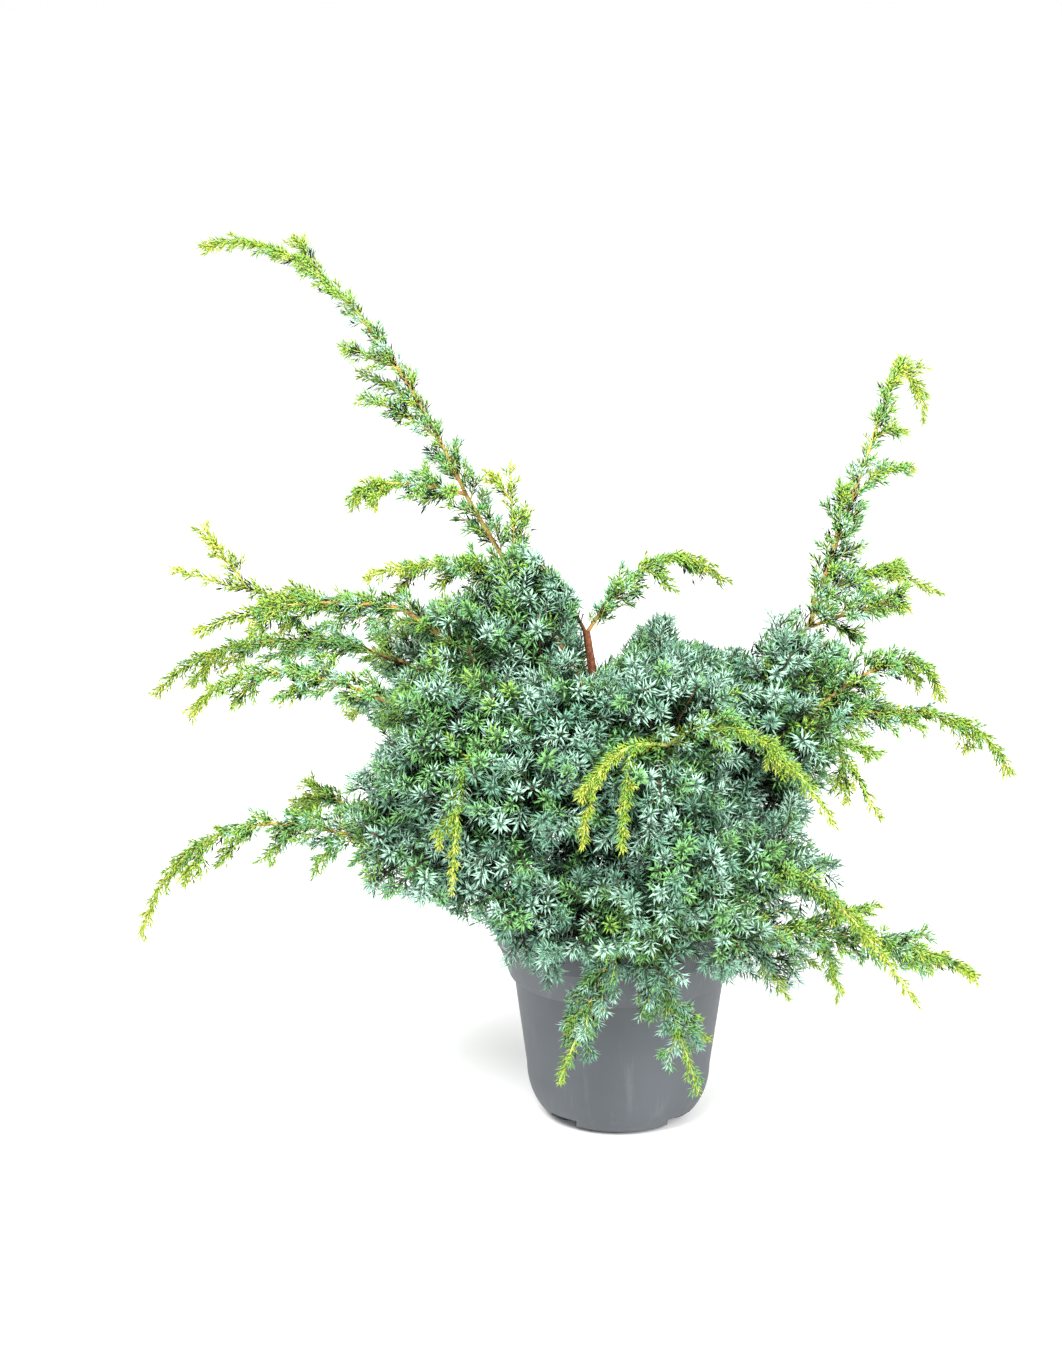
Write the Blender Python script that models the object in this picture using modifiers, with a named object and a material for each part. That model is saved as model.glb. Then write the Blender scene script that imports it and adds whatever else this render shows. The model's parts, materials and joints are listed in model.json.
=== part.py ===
"""A young blue alps chinese juniper in a grey nursery pot.

The origin is the centre of the pot's flat underside, +Z is up and -Y is the front.
A short trunk stands in the filled pot. Boughs leave it, and masses of needle foliage
start where the boughs end. A mass is one stem with its forks and twigs, all of them
three-sided and toothed by whorls of three large needles.
"""

import math
import random

import bmesh
import bpy
import numpy as np
from mathutils import Quaternion, Vector
from mathutils.bvhtree import BVHTree

MM = 0.001
GAP = 0.3 * MM
UP = Vector((0, 0, 1))

# The pot
POT_HEIGHT = 145 * MM
WALL = 1.6 * MM
RIM_RADIUS = 82 * MM
RIM_DEPTH = 23 * MM
LIP = 1.6 * MM
COLLAR_RADIUS = 73.5 * MM
COLLAR_HEIGHT = 100 * MM
BODY_TOP_RADIUS = 70.7 * MM
BODY_FOOT_RADIUS = 62 * MM
FOOT_CORNER_WIDTH = 24 * MM
FOOT_CORNER_HEIGHT = 36 * MM
CORNER_STEPS = 7
POT_STEPS = 32

# Two notches in the front of its foot and two in the back
NOTCH_ASIDE = 38.5 * MM
NOTCH_WIDTH = 16 * MM
NOTCH_HEIGHT = 10 * MM
NOTCH_NEAR = 18 * MM
NOTCH_FAR = 68 * MM
NOTCH_TURN = math.radians(4)

# The compost in it
SOIL_TOP = 128 * MM
SOIL_SAG = 3 * MM
SOIL_FLAT_RADIUS = 45 * MM

# The trunk: height, lean to the left and back, radius
TRUNK_RINGS = [
    (0, (4, 8), 14.0),
    (3, (4, 8), 12.0),
    (9, (4, 8), 10.2),
    (20, (2, 7), 9.2),
    (45, (-1, 5), 8.6),
    (75, (-6, 3), 8.1),
    (105, (-10, 2), 7.7),
    (135, (-14, 0), 7.6),
    (152, (-16, 0), 8.4),
    (162, (-17, 0), 8.2),
    (170, (-18, 0), 5.0),
    (182, (-19, 0), 3.8),
    (196, (-21, 0), 3.4),
    (208, (-23, 0), 3.2),
]
TRUNK_SIDES_EACH_QUARTER = 4
BOUGH_STEP = 20 * MM

# The foliage
SEED = 2
STEM_RADIUS = 1.9 * MM
STEM_END_RADIUS = 0.9 * MM
TWIG_RADIUS = 1.5 * MM
WHORL_STEP = 16 * MM
TWIG_STEP = 15 * MM
WHORL_TURN = math.radians(24)
TOOTH_OUT = 10 * MM
TOOTH_FORWARD = 11 * MM
FULL_TOOTH_LENGTH = 13 * MM
TWIG_SPREAD = math.radians(52)
PLUME_ONWARD = 0.9
PLUME_DROOP = 0.35
HEART_ONWARD = 0.35
GOLDEN_ANGLE = math.radians(137.5)
SPACE_MARGIN = 1.0 * MM
LIMB_MARGIN = 1.0 * MM
SHARP_BEND = 0.45
SIBLING_STEP = 7 * MM
STEM_SEAT = 0.85
END_SPARE = 1.2
TWIG_CLEAR = 7 * MM
FORK_CLEAR = 14 * MM
SHORT_EDGES = (0.2 * MM, 0.1 * MM, 0.05 * MM, 0.02 * MM, 0.005 * MM, 0.0005 * MM)

# The heart of the crown
HEART_COUNT = 10
HEART_REACH = 152 * MM
HEART_TOP_REACH = 94 * MM
HEART_LOW = 160 * MM
HEART_HIGH = 318 * MM
HEART_FOOT = 152 * MM
HEART_FOOT_TOP = 272 * MM
HEART_FIRST_HEADING = math.radians(-122)
HEART_TWIGS = 6
HEART_TWIG_LENGTH = 52 * MM

COLOURS = {
    "pot": (0.215, 0.225, 0.235),
    "soil": (0.045, 0.030, 0.020),
    "trunk": (0.120, 0.060, 0.035),
    "bough": (0.330, 0.150, 0.055),
    "foliage": (0.150, 0.330, 0.240),
}


def clear_scene():
    for thing in list(bpy.data.objects):
        bpy.data.objects.remove(thing)


def new_collection(name):
    group = bpy.data.collections.new(name)
    bpy.context.scene.collection.children.link(group)
    return group


def place(x, y, z):
    """A point given in millimetres."""
    return Vector((x, y, z)) * MM


def finish(name, colour, roughness):
    material = bpy.data.materials.new(name)
    material.use_nodes = True
    shader = material.node_tree.nodes["Principled BSDF"]
    shader.inputs["Base Color"].default_value = (*colour, 1.0)
    shader.inputs["Roughness"].default_value = roughness
    shader.inputs["Metallic"].default_value = 0.0
    return material


def add_part(name, mesh, kind, roughness):
    part = bpy.data.objects.new(name, mesh)
    mesh.materials.clear()
    mesh.materials.append(finish(name + "_finish", COLOURS[kind], roughness))
    PARTS.objects.link(part)
    return part


def evaluated_mesh(thing):
    bpy.context.view_layer.update()
    ready = thing.evaluated_get(bpy.context.evaluated_depsgraph_get())
    return bpy.data.meshes.new_from_object(ready)


# Turned pieces


def profile_mesh(name, profile):
    mesh = bpy.data.meshes.new(name)
    edges = [(i, i + 1) for i in range(len(profile) - 1)]
    mesh.from_pydata([(radius, 0.0, height) for radius, height in profile], edges, [])
    return mesh


def turn(thing):
    """Turns a profile about the upright axis."""
    screw = thing.modifiers.new("turn", "SCREW")
    screw.axis = "Z"
    screw.steps = POT_STEPS
    screw.render_steps = POT_STEPS
    screw.use_merge_vertices = True
    screw.merge_threshold = 0.00001
    return thing


def add_cutter(name, mesh):
    cutter = bpy.data.objects.new(name, mesh)
    cutter.hide_render = True
    cutter.display_type = "WIRE"
    CUTTERS.objects.link(cutter)
    return cutter


def cut(thing, cutter):
    made = thing.modifiers.new(cutter.name, "BOOLEAN")
    made.operation = "DIFFERENCE"
    made.solver = "EXACT"
    made.object = cutter


def foot_corner(inset):
    """The oval corner between the pot's wall and its underside, from wall to foot."""
    centre = BODY_FOOT_RADIUS - FOOT_CORNER_WIDTH
    width = FOOT_CORNER_WIDTH - inset
    height = FOOT_CORNER_HEIGHT - inset
    corner = []
    for step in range(CORNER_STEPS + 1):
        angle = math.pi / 2 * step / CORNER_STEPS
        rise = FOOT_CORNER_HEIGHT - height * math.sin(angle)
        corner.append((centre + width * math.cos(angle), rise))
    return corner


def inner_profile(inset, top):
    """The pot's outer form moved inwards, from the axis out along the floor and up."""
    profile = [(0.0, inset)]
    profile += reversed(foot_corner(inset))
    profile.append((BODY_TOP_RADIUS - inset, COLLAR_HEIGHT + WALL))
    share = (top - COLLAR_HEIGHT) / (POT_HEIGHT - RIM_DEPTH - COLLAR_HEIGHT)
    if share < 1.0:
        profile.append((COLLAR_RADIUS + (RIM_RADIUS - COLLAR_RADIUS) * share - inset, top))
    else:
        profile.append((RIM_RADIUS - inset, POT_HEIGHT - RIM_DEPTH + WALL))
        profile.append((RIM_RADIUS - inset, top))
    return profile


def build_pot():
    """The outer form, less the inside and the notches. Round each notch the inside keeps
    clear by the thickness of the wall."""
    profile = [
        (0.0, POT_HEIGHT),
        (RIM_RADIUS + LIP * 0.6, POT_HEIGHT),
        (RIM_RADIUS + LIP, POT_HEIGHT - LIP * 0.6),
        (RIM_RADIUS + LIP, POT_HEIGHT - LIP * 2.0),
        (RIM_RADIUS, POT_HEIGHT - LIP * 2.6),
        (RIM_RADIUS, POT_HEIGHT - RIM_DEPTH),
        (COLLAR_RADIUS, COLLAR_HEIGHT),
        (BODY_TOP_RADIUS, COLLAR_HEIGHT),
    ]
    profile += foot_corner(0.0)
    profile.append((0.0, 0.0))
    pot = turn(add_part("pot", profile_mesh("pot", profile), "pot", 0.55))
    hollow = inner_profile(WALL, POT_HEIGHT + LIP)
    hollow.append((0.0, POT_HEIGHT + LIP))
    inside = turn(add_cutter("pot_inside", profile_mesh("pot_inside", hollow)))
    cut_notches(inside, WALL)
    cut(pot, inside)
    cut_notches(pot, 0.0)
    return pot


def cut_notches(thing, margin):
    """Cuts four blocks, larger by the margin, off the corner of the foot."""
    near = NOTCH_NEAR - margin
    for number, (side, end) in enumerate([(1, 1), (-1, 1), (-1, -1), (1, -1)]):
        shape = bmesh.new()
        bmesh.ops.create_cube(shape, size=1.0)
        for point in shape.verts:
            point.co.x = side * NOTCH_ASIDE + point.co.x * (NOTCH_WIDTH + 2 * margin)
            point.co.y = end * (near + (point.co.y + 0.5) * (NOTCH_FAR - near))
            point.co.z *= (NOTCH_HEIGHT + margin) * 2
        bmesh.ops.recalc_face_normals(shape, faces=shape.faces)
        mesh = bpy.data.meshes.new("notch_cutter")
        shape.to_mesh(mesh)
        shape.free()
        cutter = add_cutter(f"{thing.name}_notch_{number + 1}", mesh)
        cutter.rotation_euler.z = NOTCH_TURN
        cut(thing, cutter)


def build_soil():
    wall = inner_profile(WALL + GAP, SOIL_TOP - SOIL_SAG)
    top = [(SOIL_FLAT_RADIUS, SOIL_TOP), (0.0, SOIL_TOP)]
    profile = list(reversed(wall + top))
    soil = turn(add_part("soil", profile_mesh("soil", profile), "soil", 0.95))
    cut_notches(soil, WALL + GAP)
    return soil


# Limbs


def bow_curve(start, tip, lean, arch):
    """A bow from start to tip. Its handle stands `lean` of the way along it and
    `arch` lengths above it. Returns the function that gives a point at each share."""
    chord = tip - start
    handle = start + chord * lean + UP * chord.length * arch

    def at(share):
        back = 1.0 - share
        return start * back * back + handle * 2 * back * share + tip * share * share

    return at


def points_along(at, step, least=3):
    length = sum((at((i + 1) / 40) - at(i / 40)).length for i in range(40))
    count = max(least, round(length / step))
    return [at(i / count) for i in range(count + 1)]


def tube_mesh(name, points, radii, sides, turn=0.0):
    """A closed tube. `sides` is 3 for foliage, else a bevel resolution for round limbs."""
    curve = bpy.data.curves.new(name, "CURVE")
    curve.dimensions = "3D"
    curve.use_fill_caps = True
    if sides == 3:
        curve.bevel_mode = "OBJECT"
        curve.bevel_object = WHORL
    else:
        curve.bevel_depth = 1.0
        curve.bevel_resolution = sides
    line = curve.splines.new("POLY")
    line.points.add(len(points) - 1)
    for number, (knot, point, radius) in enumerate(zip(line.points, points, radii)):
        knot.co = (*point, 1.0)
        knot.radius = radius
        knot.tilt = turn * number
    guide = bpy.data.objects.new(name, curve)
    bpy.context.scene.collection.objects.link(guide)
    mesh = evaluated_mesh(guide)
    bpy.data.objects.remove(guide)
    shape = bmesh.new()
    shape.from_mesh(mesh)
    bmesh.ops.remove_doubles(shape, verts=shape.verts, dist=0.00001)
    bmesh.ops.recalc_face_normals(shape, faces=shape.faces)
    shape.to_mesh(mesh)
    shape.free()
    return mesh


def whorl_outline():
    """The three-sided section of every stem in the foliage."""
    curve = bpy.data.curves.new("whorl_outline", "CURVE")
    curve.dimensions = "2D"
    line = curve.splines.new("POLY")
    line.points.add(2)
    line.use_cyclic_u = True
    for number, knot in enumerate(line.points):
        angle = math.tau * number / 3
        knot.co = (math.cos(angle), math.sin(angle), 0.0, 1.0)
    outline = bpy.data.objects.new("whorl_outline", curve)
    outline.hide_render = True
    outline.display_type = "WIRE"
    CUTTERS.objects.link(outline)
    return outline


def trunk_line():
    points = []
    radii = []
    for height, (x, y), radius in TRUNK_RINGS:
        points.append(place(x, y, height) + Vector((0, 0, SOIL_TOP + GAP)))
        radii.append(radius * MM)
    return points, radii


def trunk_at(height):
    points, _ = trunk_line()
    for low, high in zip(points, points[1:]):
        if height <= high.z:
            return low.lerp(high, (height - low.z) / (high.z - low.z))
    return points[-1]


def build_trunk():
    points, radii = trunk_line()
    mesh = tube_mesh("trunk", points, radii, TRUNK_SIDES_EACH_QUARTER)
    mesh.shade_smooth()
    add_part("trunk", mesh, "trunk", 0.85)
    LIMBS["trunk"] = Limb(points, radii)


class Limb:
    """A finished trunk or bough: its line, its radii, and what starts at its tip."""

    def __init__(self, points, radii):
        self.points = points
        self.radii = radii
        self.tip = points[-1]
        self.way = (points[-1] - points[-2]).normalized()
        self.children = 0
        self.samples = np.array([(*p, r) for p, r in self.fine_points()])

    def fine_points(self):
        for start, end, big, small in zip(
            self.points, self.points[1:], self.radii, self.radii[1:]
        ):
            parts = max(1, round((end - start).length / (1.5 * MM)))
            for i in range(parts + 1):
                yield start.lerp(end, i / parts), big + (small - big) * i / parts

    def clearance(self, points):
        """How far each point lies outside this limb."""
        spots = np.array(points).reshape(-1, 1, 3)
        away = np.linalg.norm(spots - self.samples[None, :, :3], axis=2)
        return (away - self.samples[None, :, 3]).min(axis=1)


def ring_round(centre, way, radius):
    side = way.orthogonal().normalized()
    return [centre + Quaternion(way, math.tau * i / 12) @ side * radius for i in range(12)]


def slide_clear(limb, start, way, radius, towards):
    """Moves a limb's start until its whole end is just clear of the limb it leaves."""
    while min(limb.clearance(ring_round(start, way, radius) + [start])) < GAP * 1.2:
        start = start + towards * 0.05 * MM
    return start


def first_way(root, tip, lean, arch, step):
    """The direction of a bow's first length from its root."""
    return (points_along(bow_curve(root, tip, lean, arch), step)[1] - root).normalized()


def limb_start(carrier, tip, lean, arch, radius, step):
    """Where a limb starts. On the trunk the carrier is a height. At the end of another
    limb the first goes straight on, and later ones leave its side, one after another."""
    if not isinstance(carrier, str):
        root = trunk_at(carrier)
        way = first_way(root, tip, lean, arch, step)
        return slide_clear(LIMBS["trunk"], root, way, radius, way)
    limb = LIMBS[carrier]
    way = first_way(limb.tip, tip, lean, arch, step)
    aside = way - limb.way * way.dot(limb.way)
    limb.children += 1
    if limb.children == 1:
        return limb.tip + limb.way * (GAP + radius * END_SPARE * aside.length)
    back = radius + SIBLING_STEP * (limb.children - 2)
    root = limb.tip - limb.way * back
    return slide_clear(limb, root, way, radius, aside.normalized())


def bough(name, carrier, tip, lean, arch, thick, thin):
    """One tapering limb, from the trunk at a height or from the end of another."""
    start = limb_start(carrier, tip, lean, arch, thick, BOUGH_STEP)
    points = points_along(bow_curve(start, tip, lean, arch), BOUGH_STEP)
    count = len(points) - 1
    radii = [thick + (thin - thick) * i / count for i in range(count + 1)]
    mesh = tube_mesh(name, points, radii, 1)
    mesh.shade_smooth()
    add_part("bough_" + name, mesh, "bough", 0.75)
    LIMBS[name] = Limb(points, radii)


# Foliage


class Mass:
    """A mass of foliage before it is built: its stem, and the forks and twigs on it."""

    def __init__(self, name, stem, twigs, twig_length, onward, droop):
        self.name = name
        self.lines = [stem]
        self.twigs = twigs
        self.twig_length = twig_length
        self.onward = onward
        self.droop = droop
        self.random = random.Random(f"{name} {SEED}")

    def skeleton(self):
        return np.concatenate([dense_line(line) for line in self.lines])


def dense_line(line):
    points = []
    for start, end in zip(line, line[1:]):
        parts = max(1, round((end - start).length / (2 * MM)))
        points += [start.lerp(end, i / parts) for i in range(parts)]
    return np.array(points + [line[-1]])


def plume(
    name, carrier, tip, lean, arch, forks=(), twigs=1, twig_length=30 * MM,
    onward=PLUME_ONWARD, droop=PLUME_DROOP,
):
    """A mass on one bowed stem. Each fork is (share of the stem, tip, lean, arch). Its
    twigs bend `onward` along the stem and `droop` downwards."""
    start = limb_start(carrier, tip, lean, arch, STEM_RADIUS * STEM_SEAT, WHORL_STEP)
    at = bow_curve(start, tip, lean, arch)
    mass = Mass(name, points_along(at, WHORL_STEP), twigs, twig_length, onward, droop)
    for share, fork_tip, fork_lean, fork_arch in forks:
        fork = bow_curve(at(share), fork_tip, fork_lean, fork_arch)
        mass.lines.append(points_along(fork, TWIG_STEP))
    MASSES.append(mass)


def heart_masses():
    """The dense masses round the trunk, turned by the golden angle as they climb it."""
    for number in range(HEART_COUNT):
        rise = number / (HEART_COUNT - 1)
        heading = HEART_FIRST_HEADING + GOLDEN_ANGLE * number
        reach = HEART_REACH + (HEART_TOP_REACH - HEART_REACH) * rise ** 2
        height = HEART_LOW + (HEART_HIGH - HEART_LOW) * rise
        tip = Vector((math.cos(heading) * reach, math.sin(heading) * reach, height))
        foot = HEART_FOOT + (HEART_FOOT_TOP - HEART_FOOT) * rise
        plume(
            f"heart_{number + 1:02d}", foot, tip, 0.5, 0.12 - 0.04 * rise,
            twigs=HEART_TWIGS, twig_length=HEART_TWIG_LENGTH, onward=HEART_ONWARD, droop=0.0,
        )


def others_skeleton(mass):
    return np.concatenate([other.skeleton() for other in MASSES if other is not mass])


def distance_to(cloud, points):
    spots = np.array(points).reshape(-1, 1, 3)
    return np.linalg.norm(spots - cloud[None, :, :], axis=2).min(axis=1)


def clear_of_solids(points, margin):
    """Whether the points keep clear of the trunk, the boughs, the pot and the soil."""
    for limb in LIMBS.values():
        if limb.clearance(points).min() < margin:
            return False
    for point in points:
        across = math.hypot(point[0], point[1])
        if point[2] < POT_HEIGHT + margin and across < RIM_RADIUS + LIP + margin:
            return False
    return True


def grow_twigs(mass):
    """Twigs leave the stem round a golden-angle spiral and bend forward. One that would
    start beside a fork, leave the mass's own space or touch a limb is skipped."""
    stem = mass.lines[0]
    forks = mass.lines[1:]
    others = others_skeleton(mass)
    wanted = mass.twigs
    for number in range(wanted):
        spot = 0.22 + 0.66 * (number + 0.5) / wanted
        index = min(len(stem) - 2, max(1, round(spot * (len(stem) - 1))))
        if any((fork[0] - stem[index]).length < FORK_CLEAR for fork in forks):
            continue
        along = (stem[index + 1] - stem[index]).normalized()
        side = along.orthogonal().normalized()
        roll = GOLDEN_ANGLE * number + mass.random.uniform(0.0, 1.0)
        length = mass.twig_length * (1.15 - 0.5 * spot) * mass.random.uniform(0.85, 1.1)
        for attempt in range(8):
            out = Quaternion(along, roll + math.tau * attempt / 8) @ side
            first = along * math.cos(TWIG_SPREAD) + out * math.sin(TWIG_SPREAD)
            bent = (first + along * mass.onward - UP * mass.droop).normalized()
            tip = stem[index] + bent * length
            twig = points_along(bow_curve(stem[index], tip, 0.5, 0.08), TWIG_STEP)
            outer = [tuple(point) for point in twig[1:]]
            if distance_to(others, outer).min() < TWIG_CLEAR:
                continue
            if not clear_of_solids(outer, TWIG_RADIUS + TWIG_CLEAR / 2):
                continue
            if distance_to(mass.skeleton(), outer[-1:]).min() < TWIG_CLEAR:
                continue
            mass.lines.append(twig)
            break


def tooth_size(share, is_stem):
    """The whorls are smaller at a stem's foot and shorten towards its tip."""
    foot = min(1.0, 0.55 + share * 3.0) if is_stem else 1.0
    return foot * (1.0 - 0.45 * max(0.0, (share - 0.55) / 0.45))


def toothed_line(mass, number, others, own):
    """One stem or twig with its whorls: every side of each length is drawn out to a
    needle's point, unless that needle would leave the mass's own space."""
    line = mass.lines[number]
    is_stem = number == 0
    thick = STEM_RADIUS if is_stem else TWIG_RADIUS
    count = len(line) - 1
    radii = [thick + (STEM_END_RADIUS - thick) * i / count for i in range(count + 1)]
    mesh = tube_mesh(mass.name, line, radii, 3, WHORL_TURN)
    shape = bmesh.new()
    shape.from_mesh(mesh)
    centres = np.array([(a + b) / 2 for a, b in zip(line, line[1:])])
    rooted = [np.array(other[0]) for other in mass.lines[1:]]
    keep = []
    for face in shape.faces:
        if len(face.verts) != 4:
            continue
        middle = face.calc_center_median()
        index = int(np.linalg.norm(centres - np.array(middle), axis=1).argmin())
        share = (index + 0.5) / count
        if not is_stem and index == 0:
            continue
        along = (line[index + 1] - line[index]).normalized()
        size = tooth_size(share, is_stem)
        size *= min(1.0, (line[index + 1] - line[index]).length / FULL_TOOTH_LENGTH)
        reach = TOOTH_OUT * size * mass.random.uniform(0.85, 1.1)
        apex = middle + face.normal * reach + along * TOOTH_FORWARD * size
        if inside_a_bend(line, index, face.normal):
            continue
        if is_stem and rooted and crowds_a_twig(centres[index], apex, mass, rooted):
            continue
        spots = [tuple(middle.lerp(apex, part)) for part in (0.4, 0.55, 0.7, 0.85, 1.0)]
        spots.append(tuple(apex + face.normal * SPACE_MARGIN * 0.5))
        if (distance_to(own, spots) + SPACE_MARGIN > distance_to(others, spots)).any():
            continue
        if not clear_of_solids(spots, LIMB_MARGIN):
            continue
        keep.append((face, apex))
    for face, apex in keep:
        raised = bmesh.ops.poke(shape, faces=[face])
        raised["verts"][0].co = apex
    shape.to_mesh(mesh)
    shape.free()
    return mesh


def inside_a_bend(line, index, outward):
    """Whether the line turns sharply towards this side, where needles would cross."""
    first = max(0, index - 1)
    last = min(len(line) - 2, index + 1)
    before = (line[first + 1] - line[first]).normalized()
    after = (line[last + 1] - line[last]).normalized()
    return (after - before).dot(outward) > SHARP_BEND


def crowds_a_twig(centre, apex, mass, rooted):
    """Whether a needle on the stem would run into a twig that starts beside it."""
    for root, line in zip(rooted, mass.lines[1:]):
        if np.linalg.norm(root - centre) > WHORL_STEP * 1.2:
            continue
        out = (line[1] - line[0]).normalized()
        if (apex - line[0]).normalized().dot(out) > 0.55:
            return True
    return False


def drop_scraps(shape):
    """Leaves only the largest connected piece, without sealed hollows or scraps."""
    waiting = set(shape.faces)
    pieces = []
    while waiting:
        piece = [waiting.pop()]
        for face in piece:
            for edge in face.edges:
                if not edge.is_manifold:
                    continue
                for other in edge.link_faces:
                    if other in waiting:
                        waiting.remove(other)
                        piece.append(other)
        pieces.append(piece)
    pieces.sort(key=len)
    for piece in pieces[:-1]:
        bmesh.ops.delete(shape, geom=piece, context="FACES")


def crosses_itself(shape):
    """Whether faces that share no corner meet."""
    shape.faces.ensure_lookup_table()
    tree = BVHTree.FromBMesh(shape)
    for first, second in tree.overlap(tree):
        if first < second:
            corners = set(shape.faces[first].verts)
            if corners.isdisjoint(shape.faces[second].verts):
                return True
    return False


def clean_union(mesh):
    """Merges the very short edges that a union leaves, as far as the surface stays closed
    and doesn't cross itself, and removes scraps and the points in straight edges."""
    for reach in SHORT_EDGES:
        shape = bmesh.new()
        shape.from_mesh(mesh)
        drop_scraps(shape)
        bmesh.ops.remove_doubles(shape, verts=shape.verts, dist=reach)
        spare = [point for point in shape.verts if len(point.link_edges) == 2]
        bmesh.ops.dissolve_verts(shape, verts=spare)
        bmesh.ops.triangulate(shape, faces=shape.faces, ngon_method="EAR_CLIP")
        drop_scraps(shape)
        sound = all(edge.is_manifold for edge in shape.edges) and not crosses_itself(shape)
        if sound:
            shape.to_mesh(mesh)
        shape.free()
        if sound:
            return


def build_mass(mass):
    others = others_skeleton(mass)
    own = mass.skeleton()
    meshes = [toothed_line(mass, i, others, own) for i in range(len(mass.lines))]
    name = "foliage_" + mass.name
    body = bpy.data.objects.new(name, meshes[0])
    bpy.context.scene.collection.objects.link(body)
    if len(meshes) > 1:
        joined = new_collection("joined_" + mass.name)
        for number, mesh in enumerate(meshes[1:]):
            joined.objects.link(bpy.data.objects.new(f"{name}_{number}", mesh))
        union = body.modifiers.new("union", "BOOLEAN")
        union.operation = "UNION"
        union.operand_type = "COLLECTION"
        union.collection = joined
        union.solver = "MANIFOLD"
        mesh = evaluated_mesh(body)
        for thing in list(joined.objects):
            bpy.data.objects.remove(thing)
        bpy.data.collections.remove(joined)
        clean_union(mesh)
    else:
        mesh = meshes[0]
    bpy.data.objects.remove(body)
    add_part(name, mesh, "foliage", 0.7)


# The plant, limb by limb. Tips are in millimetres; a number as carrier is the height
# on the trunk, in metres.


def left_side():
    bough("leader_foot", 283 * MM, place(-68, 20, 366), 0.5, 0.03, 4.2 * MM, 3.0 * MM)
    bough("leader_shaft", "leader_foot", place(-104, 30, 423), 0.5, -0.06, 2.9 * MM, 2.3 * MM)
    plume("leader", "leader_shaft", place(-272, 20, 586), 0.5, 0.46, forks=[
        (0.10, place(-170, 17, 488), 0.5, 0.12),
        (0.15, place(-171, 43, 500), 0.5, 0.12),
        (0.25, place(-181, 20, 520), 0.5, 0.1),
        (0.55, place(-214, 31, 589), 0.5, 0.1),
    ])
    plume("leader_spur", "leader_shaft", place(-172, -30, 429), 0.92, 0.24)
    plume("leader_sprig", "leader_foot", place(-73, 10, 445), 0.67, -0.52, twigs=2)
    plume("shoulder", "leader_foot", place(-164, -60, 386), 0.4, 0.22, forks=[
        (0.40, place(-119, -20, 371), 0.5, 0.1),
        (0.65, place(-145, -25, 369), 0.5, 0.1),
    ])
    bough("upper_left", 268 * MM, place(-142, -50, 364), 0.5, -0.04, 4.0 * MM, 2.5 * MM)
    plume("upper_left", "upper_left", place(-288, -60, 391), 0.28, -0.1, forks=[
        (0.75, place(-267, -59, 417), 0.5, 0.0),
        (0.40, place(-214, -45, 375), 0.5, 0.1),
    ])
    plume("upper_left_low", "upper_left", place(-268, -100, 359), 0.55, 0.17, forks=[
        (0.33, place(-216, -74, 356), 0.5, 0.15),
    ])
    bough("left", 246 * MM, place(-163, 30, 314), 0.5, 0.03, 4.0 * MM, 2.4 * MM)
    plume("left", "left", place(-313, 40, 281), 0.7, 0.3, forks=[
        (0.15, place(-240, 26, 307), 0.5, 0.12),
        (0.35, place(-270, 38, 300), 0.5, 0.12),
        (0.57, place(-288, 33, 290), 0.5, 0.1),
    ])
    bough("left_front", 226 * MM, place(-166, -100, 322), 0.5, 0.0, 3.8 * MM, 2.3 * MM)
    plume("left_front", "left_front", place(-270, -130, 313), 0.72, 0.38, forks=[
        (0.15, place(-215, -111, 320), 0.5, 0.1),
        (0.45, place(-242, -113, 317), 0.5, 0.1),
    ])
    bough("low_left", 184 * MM, place(-153, -80, 211), 0.5, 0.03, 4.2 * MM, 2.4 * MM)
    plume("low_left", "low_left", place(-308, -110, 160), 0.79, 0.59, forks=[
        (0.10, place(-198, -91, 197), 0.5, 0.1),
        (0.23, place(-230, -86, 204), 0.5, 0.1),
        (0.38, place(-257, -100, 205), 0.5, 0.1),
    ])
    plume("low_left_twin", "low_left", place(-216, -30, 224), 0.53, 0.4, forks=[
        (0.40, place(-205, -51, 246), 0.5, 0.1),
    ])


def top_fork():
    plume("fork_left", "trunk", place(-55, -12, 387), 0.3, 0.09, twigs=2, forks=[
        (0.50, place(-56, -11, 366), 0.5, 0.1),
    ])
    plume("fork_right", "trunk", place(67, 20, 366), 0.53, 0.65, twigs=2, forks=[
        (0.38, place(31, 0, 366), 0.5, 0.2),
        (0.60, place(53, 22, 372), 0.5, 0.15),
    ])


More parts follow.
